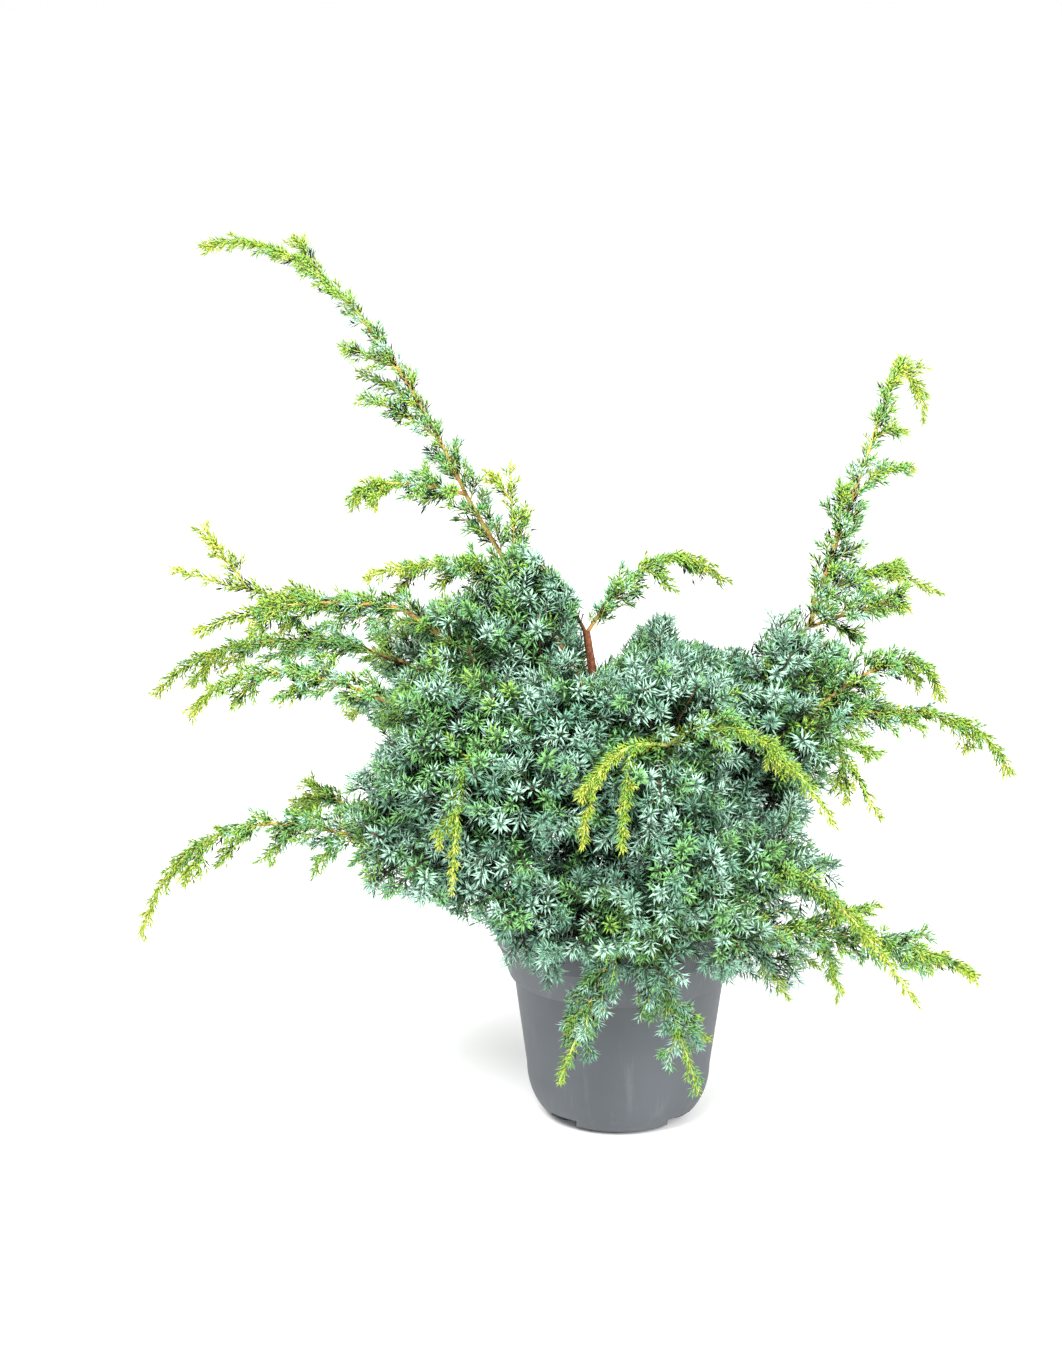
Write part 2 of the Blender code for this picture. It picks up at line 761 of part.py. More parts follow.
def right_side():
    bough("right", 212 * MM, place(86, 0, 244), 0.5, 0.05, 4.2 * MM, 3.2 * MM)
    bough("right_leader", "right", place(127, 30, 339), 0.26, 0.29, 3.0 * MM, 2.2 * MM)
    plume("right_leader", "right_leader", place(183, 50, 505), 0.92, 0.05, forks=[
        (0.12, place(147, 24, 429), 0.5, 0.1),
        (0.28, place(191, 47, 437), 0.5, 0.35),
        (0.47, place(183, 38, 463), 0.5, 0.3),
        (0.82, place(200, 49, 471), 0.6, 0.7),
    ])
    plume("right_arch", "right_leader", place(213, 60, 349), 0.26, 0.51, forks=[
        (0.35, place(169, 28, 359), 0.5, 0.1),
    ])
    plume("right_reach", "right_leader", place(183, 0, 354), 0.92, 0.13, forks=[
        (0.12, place(156, 15, 327), 0.5, 0.1),
    ])
    bough("right_arm", "right", place(118, -30, 283), 0.5, 0.05, 2.4 * MM, 2.1 * MM)
    plume("right_far", "right_arm", place(254, -30, 250), 0.83, 0.39, forks=[
        (0.20, place(198, -35, 281), 0.5, 0.12),
        (0.53, place(230, -26, 268), 0.5, 0.1),
    ])
    plume("right_bow", "right_arm", place(206, -50, 306), 0.86, 0.62, forks=[
        (0.20, place(164, -37, 307), 0.5, 0.1),
        (0.47, place(193, -38, 312), 0.5, 0.15),
    ])
    plume("right_drop", "right_arm", place(167, -80, 233), 0.34, 0.45, forks=[
        (0.53, place(168, -44, 266), 0.5, 0.1),
        (0.65, place(146, -64, 240), 0.5, 0.1),
    ])
    bough("low_right", 168 * MM, place(76, -80, 173), 0.5, 0.06, 4.0 * MM, 2.5 * MM)
    plume("low_right", "low_right", place(189, -150, 131), 0.27, 0.61, forks=[
        (0.55, place(136, -115, 180), 0.5, 0.1),
        (0.70, place(159, -119, 168), 0.5, 0.1),
    ])
    plume("low_right_skirt", "low_right", place(108, -80, 114), 0.37, -0.03, forks=[
        (0.28, place(126, -72, 131), 0.5, 0.1),
    ])


def front_side():
    bough("front", 240 * MM, place(30, -100, 287), 0.5, 0.02, 3.6 * MM, 2.3 * MM)
    plume("front_arc", "front", place(135, -140, 246), 0.5, 0.56, forks=[
        (0.57, place(104, -127, 278), 0.5, 0.1),
    ])
    plume("front_hanging", "front", place(-23, -170, 242), 0.91, 0.7, forks=[
        (0.25, place(1, -168, 239), 0.6, 0.1),
    ])
    bough("front_left", 206 * MM, place(-98, -120, 282), 0.5, 0.02, 3.2 * MM, 2.2 * MM)
    plume("front_left_hanging", "front_left", place(-105, -158, 208), 0.3, 0.3)
    bough("front_low", 160 * MM, place(8, -92, 168), 0.5, 0.08, 3.4 * MM, 2.3 * MM)
    plume("pot_left", "front_low", place(-38, -116, 65), 0.44, 0.1, forks=[
        (0.38, place(-28, -98, 114), 0.5, 0.1),
    ])
    plume("pot_right", "front_low", place(52, -112, 57), 0.42, 0.12, forks=[
        (0.30, place(16, -100, 105), 0.5, 0.1),
        (0.55, place(54, -95, 86), 0.5, 0.15),
    ])
    plume("low_right_side", "front_low", place(226, -112, 138), 0.92, 0.1, forks=[
        (0.33, place(165, -90, 177), 0.5, 0.1),
        (0.35, place(143, -105, 124), 0.5, 0.15),
        (0.53, place(184, -108, 148), 0.5, 0.1),
        (0.60, place(203, -102, 143), 0.5, 0.1),
    ])


def back_side():
    bough("back_left", 216 * MM, place(-80, 100, 256), 0.5, 0.04, 3.8 * MM, 2.4 * MM)
    plume("back_left", "back_left", place(-195, 185, 226), 0.5, 0.25, twigs=4)
    plume("back_left_low", "back_left", place(-75, 220, 196), 0.5, 0.25, twigs=3)
    bough("back", 256 * MM, place(8, 125, 262), 0.5, 0.04, 3.8 * MM, 2.4 * MM)
    plume("back", "back", place(25, 262, 236), 0.5, 0.2, twigs=4)
    bough("back_right", 198 * MM, place(92, 92, 238), 0.5, 0.04, 3.8 * MM, 2.4 * MM)
    plume("back_right", "back_right", place(200, 172, 232), 0.5, 0.25, twigs=4)
    plume("back_right_low", "back_right", place(108, 215, 180), 0.5, 0.25, twigs=4)


def main():
    build_pot()
    build_soil()
    build_trunk()
    left_side()
    top_fork()
    right_side()
    front_side()
    back_side()
    heart_masses()
    for mass in MASSES:
        grow_twigs(mass)
    for mass in MASSES:
        build_mass(mass)
    bpy.data.objects.remove(WHORL)


clear_scene()
PARTS = new_collection("potted_juniper")
CUTTERS = new_collection("cutters")
WHORL = whorl_outline()
LIMBS = {}
MASSES = []
main()
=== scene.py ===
"""The looks of the potted blue alps chinese juniper.

The crown follows the rule of the part's source: boughs leave the trunk, a stem of foliage
starts where each bough ends, and twigs leave the stems round a golden-angle spiral. Here
the same rows are carried on to finer twigs, and every twig bears whorls of three needles.
"""

import json
import math
import random
from collections import namedtuple

import bmesh
import bpy
import numpy as np
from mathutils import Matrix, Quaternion, Vector, noise

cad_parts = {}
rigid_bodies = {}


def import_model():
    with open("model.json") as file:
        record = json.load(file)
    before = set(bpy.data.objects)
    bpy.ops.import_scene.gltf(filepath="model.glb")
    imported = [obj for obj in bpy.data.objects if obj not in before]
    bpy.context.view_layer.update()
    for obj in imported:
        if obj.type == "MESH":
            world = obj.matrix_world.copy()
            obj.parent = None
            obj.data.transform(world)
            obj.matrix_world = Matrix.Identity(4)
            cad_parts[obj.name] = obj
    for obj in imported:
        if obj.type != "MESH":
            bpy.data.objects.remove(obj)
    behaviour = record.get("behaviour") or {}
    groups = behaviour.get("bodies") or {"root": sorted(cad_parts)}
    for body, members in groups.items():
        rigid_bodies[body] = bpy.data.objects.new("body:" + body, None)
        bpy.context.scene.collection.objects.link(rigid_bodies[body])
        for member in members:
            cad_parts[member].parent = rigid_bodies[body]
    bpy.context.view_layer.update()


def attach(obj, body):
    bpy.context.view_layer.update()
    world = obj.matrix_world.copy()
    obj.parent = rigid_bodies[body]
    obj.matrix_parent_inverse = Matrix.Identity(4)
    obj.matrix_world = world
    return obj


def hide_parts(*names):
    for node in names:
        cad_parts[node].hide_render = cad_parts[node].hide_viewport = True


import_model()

MM = 0.001
GAP = 0.3 * MM
UP = Vector((0, 0, 1))
GOLDEN_ANGLE = math.radians(137.5)
LIFT = np.array((0.0, 0.0, 1.0))
FORWARD = np.array((0.0, -1.0, 0.0))

# The camera of the photograph
CAMERA_PLACE = (0.0, -2.3432, 0.9214)
CAMERA_PITCH = math.radians(14.833)
CAMERA_YAW = math.radians(1.45)
CAMERA_SENSOR = 36.0
CAMERA_LENS = 96.63

# The pot, as in the part's source
POT_HEIGHT = 145 * MM
WALL = 1.6 * MM
RIM_RADIUS = 82 * MM
RIM_DEPTH = 23 * MM
LIP = 1.6 * MM
COLLAR_RADIUS = 73.5 * MM
COLLAR_HEIGHT = 100 * MM
BODY_TOP_RADIUS = 70.7 * MM
BODY_FOOT_RADIUS = 62 * MM
FOOT_CORNER_WIDTH = 24 * MM
FOOT_CORNER_HEIGHT = 36 * MM
CORNER_STEPS = 20
POT_SEGMENTS = 144
NOTCH_ASIDE = 38.5 * MM
NOTCH_WIDTH = 16 * MM
NOTCH_HEIGHT = 10 * MM
NOTCH_NEAR = 18 * MM
NOTCH_FAR = 68 * MM
NOTCH_TURN = math.radians(4)

# The compost
SOIL_TOP = 128 * MM
SOIL_SAG = 3 * MM
SOIL_LUMPS = 2.2 * MM
SOIL_RINGS = 34
SOIL_SEGMENTS = 120
CHIPS = 420

# The trunk: height, lean to the left and back, radius
TRUNK_RINGS = [
    (0, (4, 8), 14.0),
    (3, (4, 8), 12.0),
    (9, (4, 8), 10.2),
    (20, (2, 7), 9.2),
    (45, (-1, 5), 8.6),
    (75, (-6, 3), 8.1),
    (105, (-10, 2), 7.7),
    (135, (-14, 0), 7.6),
    (152, (-16, 0), 8.4),
    (162, (-17, 0), 8.2),
    (170, (-18, 0), 5.0),
    (182, (-19, 0), 3.8),
    (196, (-21, 0), 3.4),
    (208, (-23, 0), 3.2),
]
BOUGH_STEP = 20 * MM
BARK_STEP = 1.8 * MM
TRUNK_SIDES = 44
BOUGH_SIDES = 16
BOUGH_SHARE = 0.6
ROOT_INSIDE = 3 * MM
KNOT_TOP = 166 * MM
TOP_SLIMMING = 0.25

# The source's rule for the foliage
SEED = 2
STEM_RADIUS = 1.9 * MM
STEM_WOOD = 1.35 * MM
TWIG_RADIUS = 1.5 * MM
WHORL_STEP = 16 * MM
TWIG_STEP = 15 * MM
TWIG_SPREAD = math.radians(52)
PLUME_ONWARD = 0.9
PLUME_DROOP = 0.35
HEART_ONWARD = 0.35
SIBLING_STEP = 7 * MM
STEM_SEAT = 0.85
END_SPARE = 1.2
TWIG_CLEAR = 7 * MM
FORK_CLEAR = 14 * MM
HEART_COUNT = 10
HEART_REACH = 152 * MM
HEART_TOP_REACH = 94 * MM
HEART_LOW = 160 * MM
HEART_HIGH = 318 * MM
HEART_FOOT = 152 * MM
HEART_FOOT_TOP = 272 * MM
HEART_FIRST_HEADING = math.radians(-122)
HEART_TWIGS = 6
HEART_TWIG_LENGTH = 52 * MM

# The finer growth. Each level of shoots grows on the one before it, or on all before it.
# `onward` bends a shoot to its parent's way, `outward` away from the crown's middle and
# `lift` upwards. A shoot at the parent's tip is shorter by the share `fade`.
Level = namedtuple(
    "Level",
    "step first last length fade spread onward outward lift bare thick rings sides on_all",
)
# A habit's shade is painted shade, added to all its needles' colours.
Habit = namedtuple("Habit", "levels whorl_step spread needle bare warmth warming shade cell")
LIMB_TWIGS = Level(
    step=9 * MM, first=0.05, last=1.0, length=96 * MM, fade=0.5,
    spread=math.radians(62), onward=0.25, outward=0.5, lift=0.05, bare=0.5,
    thick=1.1 * MM, rings=7, sides=5, on_all=False,
)
HEART = Habit(
    levels=[
        Level(step=7 * MM, first=0.14, last=0.97, length=56 * MM, fade=0.5,
              spread=math.radians(54), onward=0.35, outward=0.45, lift=0.1, bare=0.5,
              thick=0.7 * MM, rings=3, sides=3, on_all=False),
        Level(step=7.5 * MM, first=0.15, last=0.96, length=28 * MM, fade=0.4,
              spread=math.radians(48), onward=0.35, outward=0.6, lift=0.12, bare=0.3,
              thick=0.55 * MM, rings=2, sides=3, on_all=False),
    ],
    whorl_step=2.1 * MM, spread=math.radians(60), needle=9.5 * MM, bare=0.3,
    warmth=0.6, warming=0.0, shade=0.0, cell=11.4 * MM,
)
CLUMP = Habit(
    levels=[
        Level(step=3.4 * MM, first=0.05, last=1.0, length=28 * MM, fade=0.3,
              spread=math.radians(50), onward=0.5, outward=0.0, lift=0.0, bare=0.2,
              thick=0.6 * MM, rings=3, sides=3, on_all=False),
        Level(step=4.5 * MM, first=0.15, last=0.95, length=13 * MM, fade=0.4,
              spread=math.radians(44), onward=0.4, outward=0.0, lift=0.0, bare=0.1,
              thick=0.5 * MM, rings=2, sides=3, on_all=False),
    ],
    whorl_step=2.2 * MM, spread=math.radians(52), needle=9 * MM, bare=0.1,
    warmth=1.2, warming=0.8, shade=0.1, cell=0,
)
SPRIGS = Habit(
    levels=[
        Level(step=5 * MM, first=0.0, last=1.0, length=25 * MM, fade=0.2,
              spread=math.radians(44), onward=0.8, outward=0.0, lift=-0.35, bare=0.1,
              thick=0.55 * MM, rings=4, sides=3, on_all=False),
        Level(step=5 * MM, first=0.1, last=0.9, length=10 * MM, fade=0.4,
              spread=math.radians(40), onward=0.5, outward=0.0, lift=-0.1, bare=0.1,
              thick=0.45 * MM, rings=2, sides=3, on_all=False),
    ],
    whorl_step=1.9 * MM, spread=math.radians(46), needle=8.2 * MM, bare=0.1,
    warmth=2.1, warming=0.0, shade=-0.1, cell=0,
)
PLUME = Habit(
    levels=[
        Level(step=11 * MM, first=0.03, last=0.72, length=15 * MM, fade=0.6,
              spread=math.radians(28), onward=0.9, outward=0.0, lift=-0.3, bare=0.04,
              thick=0.6 * MM, rings=3, sides=3, on_all=False),
        Level(step=3.0 * MM, first=0.02, last=0.98, length=9.5 * MM, fade=0.3,
              spread=math.radians(40), onward=0.6, outward=0.0, lift=-0.3, bare=0.1,
              thick=0.4 * MM, rings=2, sides=3, on_all=True),
    ],
    whorl_step=1.9 * MM, spread=math.radians(46), needle=6.8 * MM, bare=0.03,
    warmth=2.0, warming=2.6, shade=0.0, cell=0,
)
FRESH_PLUME = PLUME._replace(warmth=2.9, warming=1.6, shade=-0.1)
HANGING = Habit(
    levels=[
        Level(step=24 * MM, first=0.1, last=0.5, length=12 * MM, fade=0.5,
              spread=math.radians(36), onward=0.8, outward=0.0, lift=-0.3, bare=0.1,
              thick=0.5 * MM, rings=4, sides=3, on_all=False),
        Level(step=3.5 * MM, first=0.04, last=0.95, length=6 * MM, fade=0.3,
              spread=math.radians(36), onward=0.5, outward=0.0, lift=-0.1, bare=0.1,
              thick=0.4 * MM, rings=2, sides=3, on_all=True),
    ],
    whorl_step=1.8 * MM, spread=math.radians(38), needle=7.2 * MM, bare=0.02,
    warmth=2.8, warming=2.4, shade=-0.1, cell=0,
)
HABITS = (HEART, PLUME, HANGING, CLUMP, FRESH_PLUME)
CROWN_MIDDLE = (-5 * MM, 0.0, 195 * MM)
HEART_MIDDLE = (-5 * MM, 6 * MM, 226 * MM)
HEART_SIZE = (178 * MM, 156 * MM, 150 * MM)
HEART_SQUARENESS = 2.8
SHADED = 0.34
WARMEST_HEART = 3.0
YOUNG_REACH = 60 * MM
YOUNG_TINT = 1.3
LOBE_SCALE = 24.0
LOBE_DEPTH = 0.24
HEART_EDGE = 1.03
LOBE_REACH = 12 * MM
# Painted shade on the needles' colours: more away from a shoot's lit tip, on the inner needles and where foliage crowds
# round a needle. Past the two thresholds at the end, a needle takes a dim or the darkest painted shade colour.
LIT_LENGTH = 7 * MM
OWN_SHADE = 0.35
INNER_PAINTED_SHADE = 0.3
CROWD_CELL = 6 * MM
CROWD_STEPS = range(1, 8)
CROWD_FULL = 28
CROWD_MOST = 0.95
PAINTED_SHADE_FROM = 0.5
PAINTED_DEEP_SHADE_FROM = 0.85
TIP_REACH = 5 * MM
TRIMS = (0.5, 0.65, 0.8, 1.0)
INNER_NEEDLE = 12 * MM

# The outline of the heart and of the clump above it, as the camera sees them against the
# plane through the trunk, in millimetres across and up: the left top, the cleft round the
# bare stem, the right top, and back along the skirt
HEART_OUTLINE = [
    (-182, 175), (-188, 222), (-178, 238), (-162, 252), (-149, 268), (-184, 276), (-186, 284), (-160, 296), (-164, 312),
    (-162, 338), (-126, 354), (-100, 363), (-86, 374), (-80, 420), (-68, 420), (-64, 396), (-54, 388), (-46, 376),
    (-36, 370), (-27, 365), (-26, 330), (-24, 310),
    (-17, 303), (-10, 314), (8, 326), (14, 338), (24, 346), (34, 346), (39, 328),
    (84, 326), (91, 312), (88, 334), (96, 354), (118, 356), (126, 334), (148, 332),
    (160, 296), (147, 270), (144, 240), (134, 226), (127, 211), (130, 197), (138, 190),
    (150, 178), (168, 152), (150, 88), (109, 85), (66, 92), (48, 50), (15, 57),
    (-12, 78), (-40, 71), (-62, 98), (-80, 97), (-92, 92), (-88, 108), (-80, 118),
    (-88, 130), (-104, 138), (-120, 146), (-170, 148),
]
SPRIGS_FROM = 0.3
SLEEVE = 0.22

# Boughs that show in front of the heart's foliage, and from which share of their length
SHOWN_BOUGHS = {"upper_left": 0.5, "left": 0.75}
SHOWN_WIDTH = 6 * MM

# Where the crown turns from silvery to green
SILVER_MIDDLE = 45 * MM
SILVER_REACH = 60 * MM
SILVER_TOP = 240 * MM
TURNING = 60 * MM
SUNNY_TINT = 0.7
POT_TINT = 1.3
POT_TINT_REACH = 130 * MM
MOST_MOOD = 1.3
LEAFY_LOW = 150 * MM
LEAFY_HIGH = 285 * MM
NEEDLE_WIDTH = 1.5 * MM
NEEDLE_DEPTH = 0.5 * MM
NEEDLE_WIDEST = 0.45
NEEDLES_A_PIECE = 48000
NEEDLE_GLOSS = 0.3
# The darkest painted shade needles also shine less.
PAINTED_DEEP_SHADE_GLOSS = 0.04

# Base colours of the needles, from old to young: under side, upper side. The last three are painted shade colours, for
# needles in shade.
NEEDLE_TINTS = [
    ("blue", (106, 152, 126), (192, 226, 210)),
    ("silver", (160, 200, 178), (246, 254, 250)),
    ("green", (114, 168, 100), (240, 250, 214)),
    ("fresh", (138, 182, 80), (244, 252, 190)),
    ("lime", (150, 182, 62), (232, 244, 152)),
    ("gold", (184, 198, 80), (234, 240, 144)),
    # Painted shade: darker copies of the blue and the green, and the darkest of all
    ("dim_blue", (28, 62, 38), (72, 118, 96)),
    ("dim_green", (30, 80, 24), (82, 136, 62)),
    ("deep", (6, 24, 10), (14, 40, 22)),
]
GREEN, YOUNGEST, PAINTED_SHADE_BLUE, PAINTED_SHADE_GREEN, PAINTED_DEEP_SHADE = 2, 5, 6, 7, 8
WOOD_TINTS = {
    "brown": (92, 58, 38),
    "orange": (170, 128, 64),
    "olive": (192, 172, 86),
    "young": (184, 196, 100),
    "dull": (52, 54, 32),
}


def place(x, y, z):
    """A point given in millimetres."""
    return Vector((x, y, z)) * MM


def linear(colour):
    """A base colour given as on screen, from 0 to 255."""
    shares = [value / 255 for value in colour]
    return tuple(s / 12.92 if s < 0.04045 else ((s + 0.055) / 1.055) ** 2.4 for s in shares)


def add_object(name, mesh):
    thing = bpy.data.objects.new(name, mesh)
    bpy.context.scene.collection.objects.link(thing)
    return thing


def add_piece(name, mesh, slot, materials, *nodes):
    """A piece of the plant or pot, which stands for the CAD nodes."""
    mesh.materials.clear()
    for material in materials:
        mesh.materials.append(material)
    piece = add_object(name, mesh)
    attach(piece, "root")
    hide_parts(*nodes)
    return piece


# Camera, light and floor


def build_camera():
    data = bpy.data.cameras.new("camera")
    data.sensor_width = CAMERA_SENSOR
    data.lens = CAMERA_LENS
    camera = add_object("camera", data)
    camera.location = CAMERA_PLACE
    camera.rotation_euler = (math.pi / 2 - CAMERA_PITCH, 0.0, CAMERA_YAW)
    bpy.context.scene.camera = camera


def add_light(name, place_, aim, size, power):
    data = bpy.data.lights.new(name, "AREA")
    data.shape = "DISK"
    data.size = size
    data.energy = power
    lamp = add_object(name, data)
    lamp.location = place_
    lamp.rotation_euler = (Vector(aim) - Vector(place_)).to_track_quat("-Z", "Y").to_euler()


def build_studio():
    bpy.context.scene.view_settings.view_transform = "Standard"
    world = bpy.data.worlds.new("studio")
    bpy.context.scene.world = world
    world.use_nodes = True
    sky = world.node_tree.nodes["Background"]
    sky.inputs["Color"].default_value = (1.0, 1.0, 1.0, 1.0)
    sky.inputs["Strength"].default_value = 1.0
    add_light("key", (-0.7, -2.0, 2.6), (0.0, 0.0, 0.25), 1.6, 180.0)
    add_light("fill", (1.6, -1.6, 1.3), (0.0, 0.0, 0.25), 1.6, 75.0)
    shape = bmesh.new()
    bmesh.ops.create_grid(shape, x_segments=1, y_segments=1, size=30.0)
    mesh = bpy.data.meshes.new("floor")
    shape.to_mesh(mesh)
    shape.free()
    mesh.materials.append(plain("floor_paper", (252, 252, 252), 0.9))
    floor = add_object("floor", mesh)


# Materials


def plain(name, colour, roughness, gloss=0.5):
    material = bpy.data.materials.new(name)
    material.use_nodes = True
    shader = material.node_tree.nodes["Principled BSDF"]
    shader.inputs["Base Color"].default_value = (*linear(colour), 1.0)
    shader.inputs["Roughness"].default_value = roughness
    shader.inputs["Specular IOR Level"].default_value = gloss
    return material


class Nodes:
    """A short way to write a procedural material on the object's own coordinates."""

    def __init__(self, name):
        self.material = bpy.data.materials.new(name)
        self.material.use_nodes = True
        self.tree = self.material.node_tree
        self.shader = self.tree.nodes["Principled BSDF"]
        self.coordinates = self.tree.nodes.new("ShaderNodeTexCoord")

    def link(self, source, target):
        self.tree.links.new(source, target)
        return target

    def stretched(self, scale):
        mapping = self.tree.nodes.new("ShaderNodeMapping")
        mapping.inputs["Scale"].default_value = scale
        self.link(self.coordinates.outputs["Object"], mapping.inputs["Vector"])
        return mapping.outputs["Vector"]

    def noise(self, scale, detail=4.0, roughness=0.55, stretch=(1, 1, 1)):
        made = self.tree.nodes.new("ShaderNodeTexNoise")
        made.inputs["Scale"].default_value = scale
        made.inputs["Detail"].default_value = detail
        made.inputs["Roughness"].default_value = roughness
        self.link(self.stretched(stretch), made.inputs["Vector"])
        return made.outputs["Fac"]

    def ramp(self, value, *stops):
        """Colours by position, each stop being (position, colour as on screen)."""
        made = self.tree.nodes.new("ShaderNodeValToRGB")
        bar = made.color_ramp
        for number, (position, colour) in enumerate(stops):
            stop = bar.elements[number] if number < 2 else bar.elements.new(position)
            stop.position = position
            stop.color = (*linear(colour), 1.0)
        self.link(value, made.inputs["Fac"])
        return made.outputs["Color"]

    def mixed(self, share, first, second, blend="MIX"):
        made = self.tree.nodes.new("ShaderNodeMix")
        made.data_type = "RGBA"
        made.blend_type = blend
        if isinstance(share, float):
            made.inputs["Factor"].default_value = share
        else:
            self.link(share, made.inputs["Factor"])
        self.link(first, made.inputs[6])
        self.link(second, made.inputs[7])
        return made.outputs[2]

    def ranged(self, value, low, high):
        made = self.tree.nodes.new("ShaderNodeMapRange")
        made.inputs["To Min"].default_value = low
        made.inputs["To Max"].default_value = high
        self.link(value, made.inputs["Value"])
        return made.outputs["Result"]

    def distance(self, point, near, far):
        """From 0 to 1 by how far the surface lies from a point."""
        made = self.tree.nodes.new("ShaderNodeVectorMath")
        made.operation = "DISTANCE"
        self.link(self.coordinates.outputs["Object"], made.inputs[0])
        made.inputs[1].default_value = point
        scaled = self.tree.nodes.new("ShaderNodeMapRange")
        scaled.inputs["From Min"].default_value = near
        scaled.inputs["From Max"].default_value = far
        self.link(made.outputs["Value"], scaled.inputs["Value"])
        return scaled.outputs["Result"]

    def bump(self, height, strength, distance):
        made = self.tree.nodes.new("ShaderNodeBump")
        made.inputs["Strength"].default_value = strength
        made.inputs["Distance"].default_value = distance
        self.link(height, made.inputs["Height"])
        self.link(made.outputs["Normal"], self.shader.inputs["Normal"])


def bark_finish(name, dark, middle, light, reach=None):
    """Flaking bark: furrows, paler flakes and a dull, uneven surface. With a reach, the
    bark turns from dark to light on the way out from the crown's middle."""
    made = Nodes(name)
    furrows = made.noise(420.0, 6.0, 0.65)
    patches = made.noise(90.0, 3.0, 0.5)
    flakes = made.ramp(furrows, (0.32, dark), (0.5, middle), (0.68, light))
    tone = made.ramp(patches, (0.35, dark), (0.62, middle))
    if reach:
        tone = made.ramp(made.distance(CROWN_MIDDLE, *reach), (0.0, dark), (0.45, middle), (1.0, light))
    colour = made.mixed(0.35 if not reach else 0.5, flakes, tone)
    made.link(colour, made.shader.inputs["Base Color"])
    made.link(made.ranged(patches, 0.6, 0.9), made.shader.inputs["Roughness"])
    made.bump(furrows, 0.6, 0.0006)
    return made.material


def pot_finish():
    """Moulded grey plastic with specks, faint upright scuffs and a soft sheen."""
    made = Nodes("pot_plastic")
    cloud = made.noise(14.0, 3.0, 0.5)
    grain = made.noise(900.0, 2.0, 0.5)
    scuffs = made.noise(120.0, 5.0, 0.6, (1, 1, 0.06))
    specks = made.noise(330.0, 1.0, 0.4)
    ground = made.ramp(cloud, (0.3, (53, 58, 63)), (0.7, (62, 67, 72)))
    worn = made.ramp(scuffs, (0.55, (0, 0, 0)), (0.8, (255, 255, 255)))
    pale = made.ramp(scuffs, (0.0, (92, 96, 98)), (1.0, (104, 107, 109)))
    ground = made.mixed(made.ranged(worn, 0.0, 0.35), ground, pale)
    dots = made.ramp(specks, (0.24, (255, 255, 255)), (0.29, (0, 0, 0)))
    dark = made.ramp(specks, (0.0, (54, 57, 59)), (1.0, (64, 67, 69)))
    ground = made.mixed(made.ranged(dots, 0.0, 0.8), ground, dark)
    made.link(ground, made.shader.inputs["Base Color"])
    made.link(made.ranged(scuffs, 0.42, 0.62), made.shader.inputs["Roughness"])
    made.bump(grain, 0.12, 0.0002)
    return made.material


def soil_finish():
    made = Nodes("compost")
    crumbs = made.noise(240.0, 8.0, 0.7)
    colour = made.ramp(crumbs, (0.3, (30, 20, 14)), (0.55, (66, 46, 32)), (0.75, (104, 78, 54)))
    made.link(colour, made.shader.inputs["Base Color"])
    made.shader.inputs["Roughness"].default_value = 0.95
    made.bump(crumbs, 0.9, 0.002)
    return made.material


def chip_finish():
    made = Nodes("bark_chips")
    streaks = made.noise(300.0, 4.0, 0.6, (1, 0.3, 1))
    colour = made.ramp(streaks, (0.3, (58, 38, 26)), (0.7, (132, 92, 60)))
    made.link(colour, made.shader.inputs["Base Color"])
    made.shader.inputs["Roughness"].default_value = 0.9
    made.bump(streaks, 0.5, 0.0008)
    return made.material


# Meshes made from arrays


def mesh_of(name, points, faces, kinds=None):
    """A mesh from an array of points and one of faces, all with the same corners."""
    mesh = bpy.data.meshes.new(name)
    corners = faces.shape[1]
    mesh.vertices.add(len(points))
    mesh.vertices.foreach_set("co", points.astype(np.float32).ravel())
    mesh.loops.add(faces.size)
    mesh.loops.foreach_set("vertex_index", faces.astype(np.int32).ravel())
    mesh.polygons.add(len(faces))
    mesh.polygons.foreach_set("loop_start", np.arange(0, faces.size, corners, dtype=np.int32))
    if kinds is not None:
        mesh.polygons.foreach_set("material_index", kinds.astype(np.int32))
    mesh.update(calc_edges=True)
    return mesh


def unit(vectors):
    return vectors / np.maximum(np.linalg.norm(vectors, axis=-1, keepdims=True), 1e-9)


def across(ways):
    """A vector square to each way."""
    steep = np.abs(ways[..., 2:]) > 0.9
    aid = np.where(steep, np.array((1.0, 0.0, 0.0)), np.array((0.0, 0.0, 1.0)))
    return unit(np.cross(ways, aid))


def smooth(mesh, angle):
    mesh.shade_smooth()
    mesh.set_sharp_from_angle(angle=math.radians(angle))


# The pot and the compost


def arc(centre_x, centre_z, radius, first, last, steps):
    """Points on a quarter or so of a circle, angles in degrees from the level."""
    points = []
    for step in range(steps + 1):
        angle = math.radians(first + (last - first) * step / steps)
        points.append((centre_x + radius * math.cos(angle), centre_z + radius * math.sin(angle)))
    return points


def foot_corner(inset):
    """The oval corner between the pot's wall and its underside, from wall to foot."""
    centre = BODY_FOOT_RADIUS - FOOT_CORNER_WIDTH
    width = FOOT_CORNER_WIDTH - inset
    height = FOOT_CORNER_HEIGHT - inset
    corner = []
    for step in range(CORNER_STEPS + 1):
        angle = math.pi / 2 * step / CORNER_STEPS
        rise = FOOT_CORNER_HEIGHT - height * math.sin(angle)
        corner.append((centre + width * math.cos(angle), rise))
    return corner


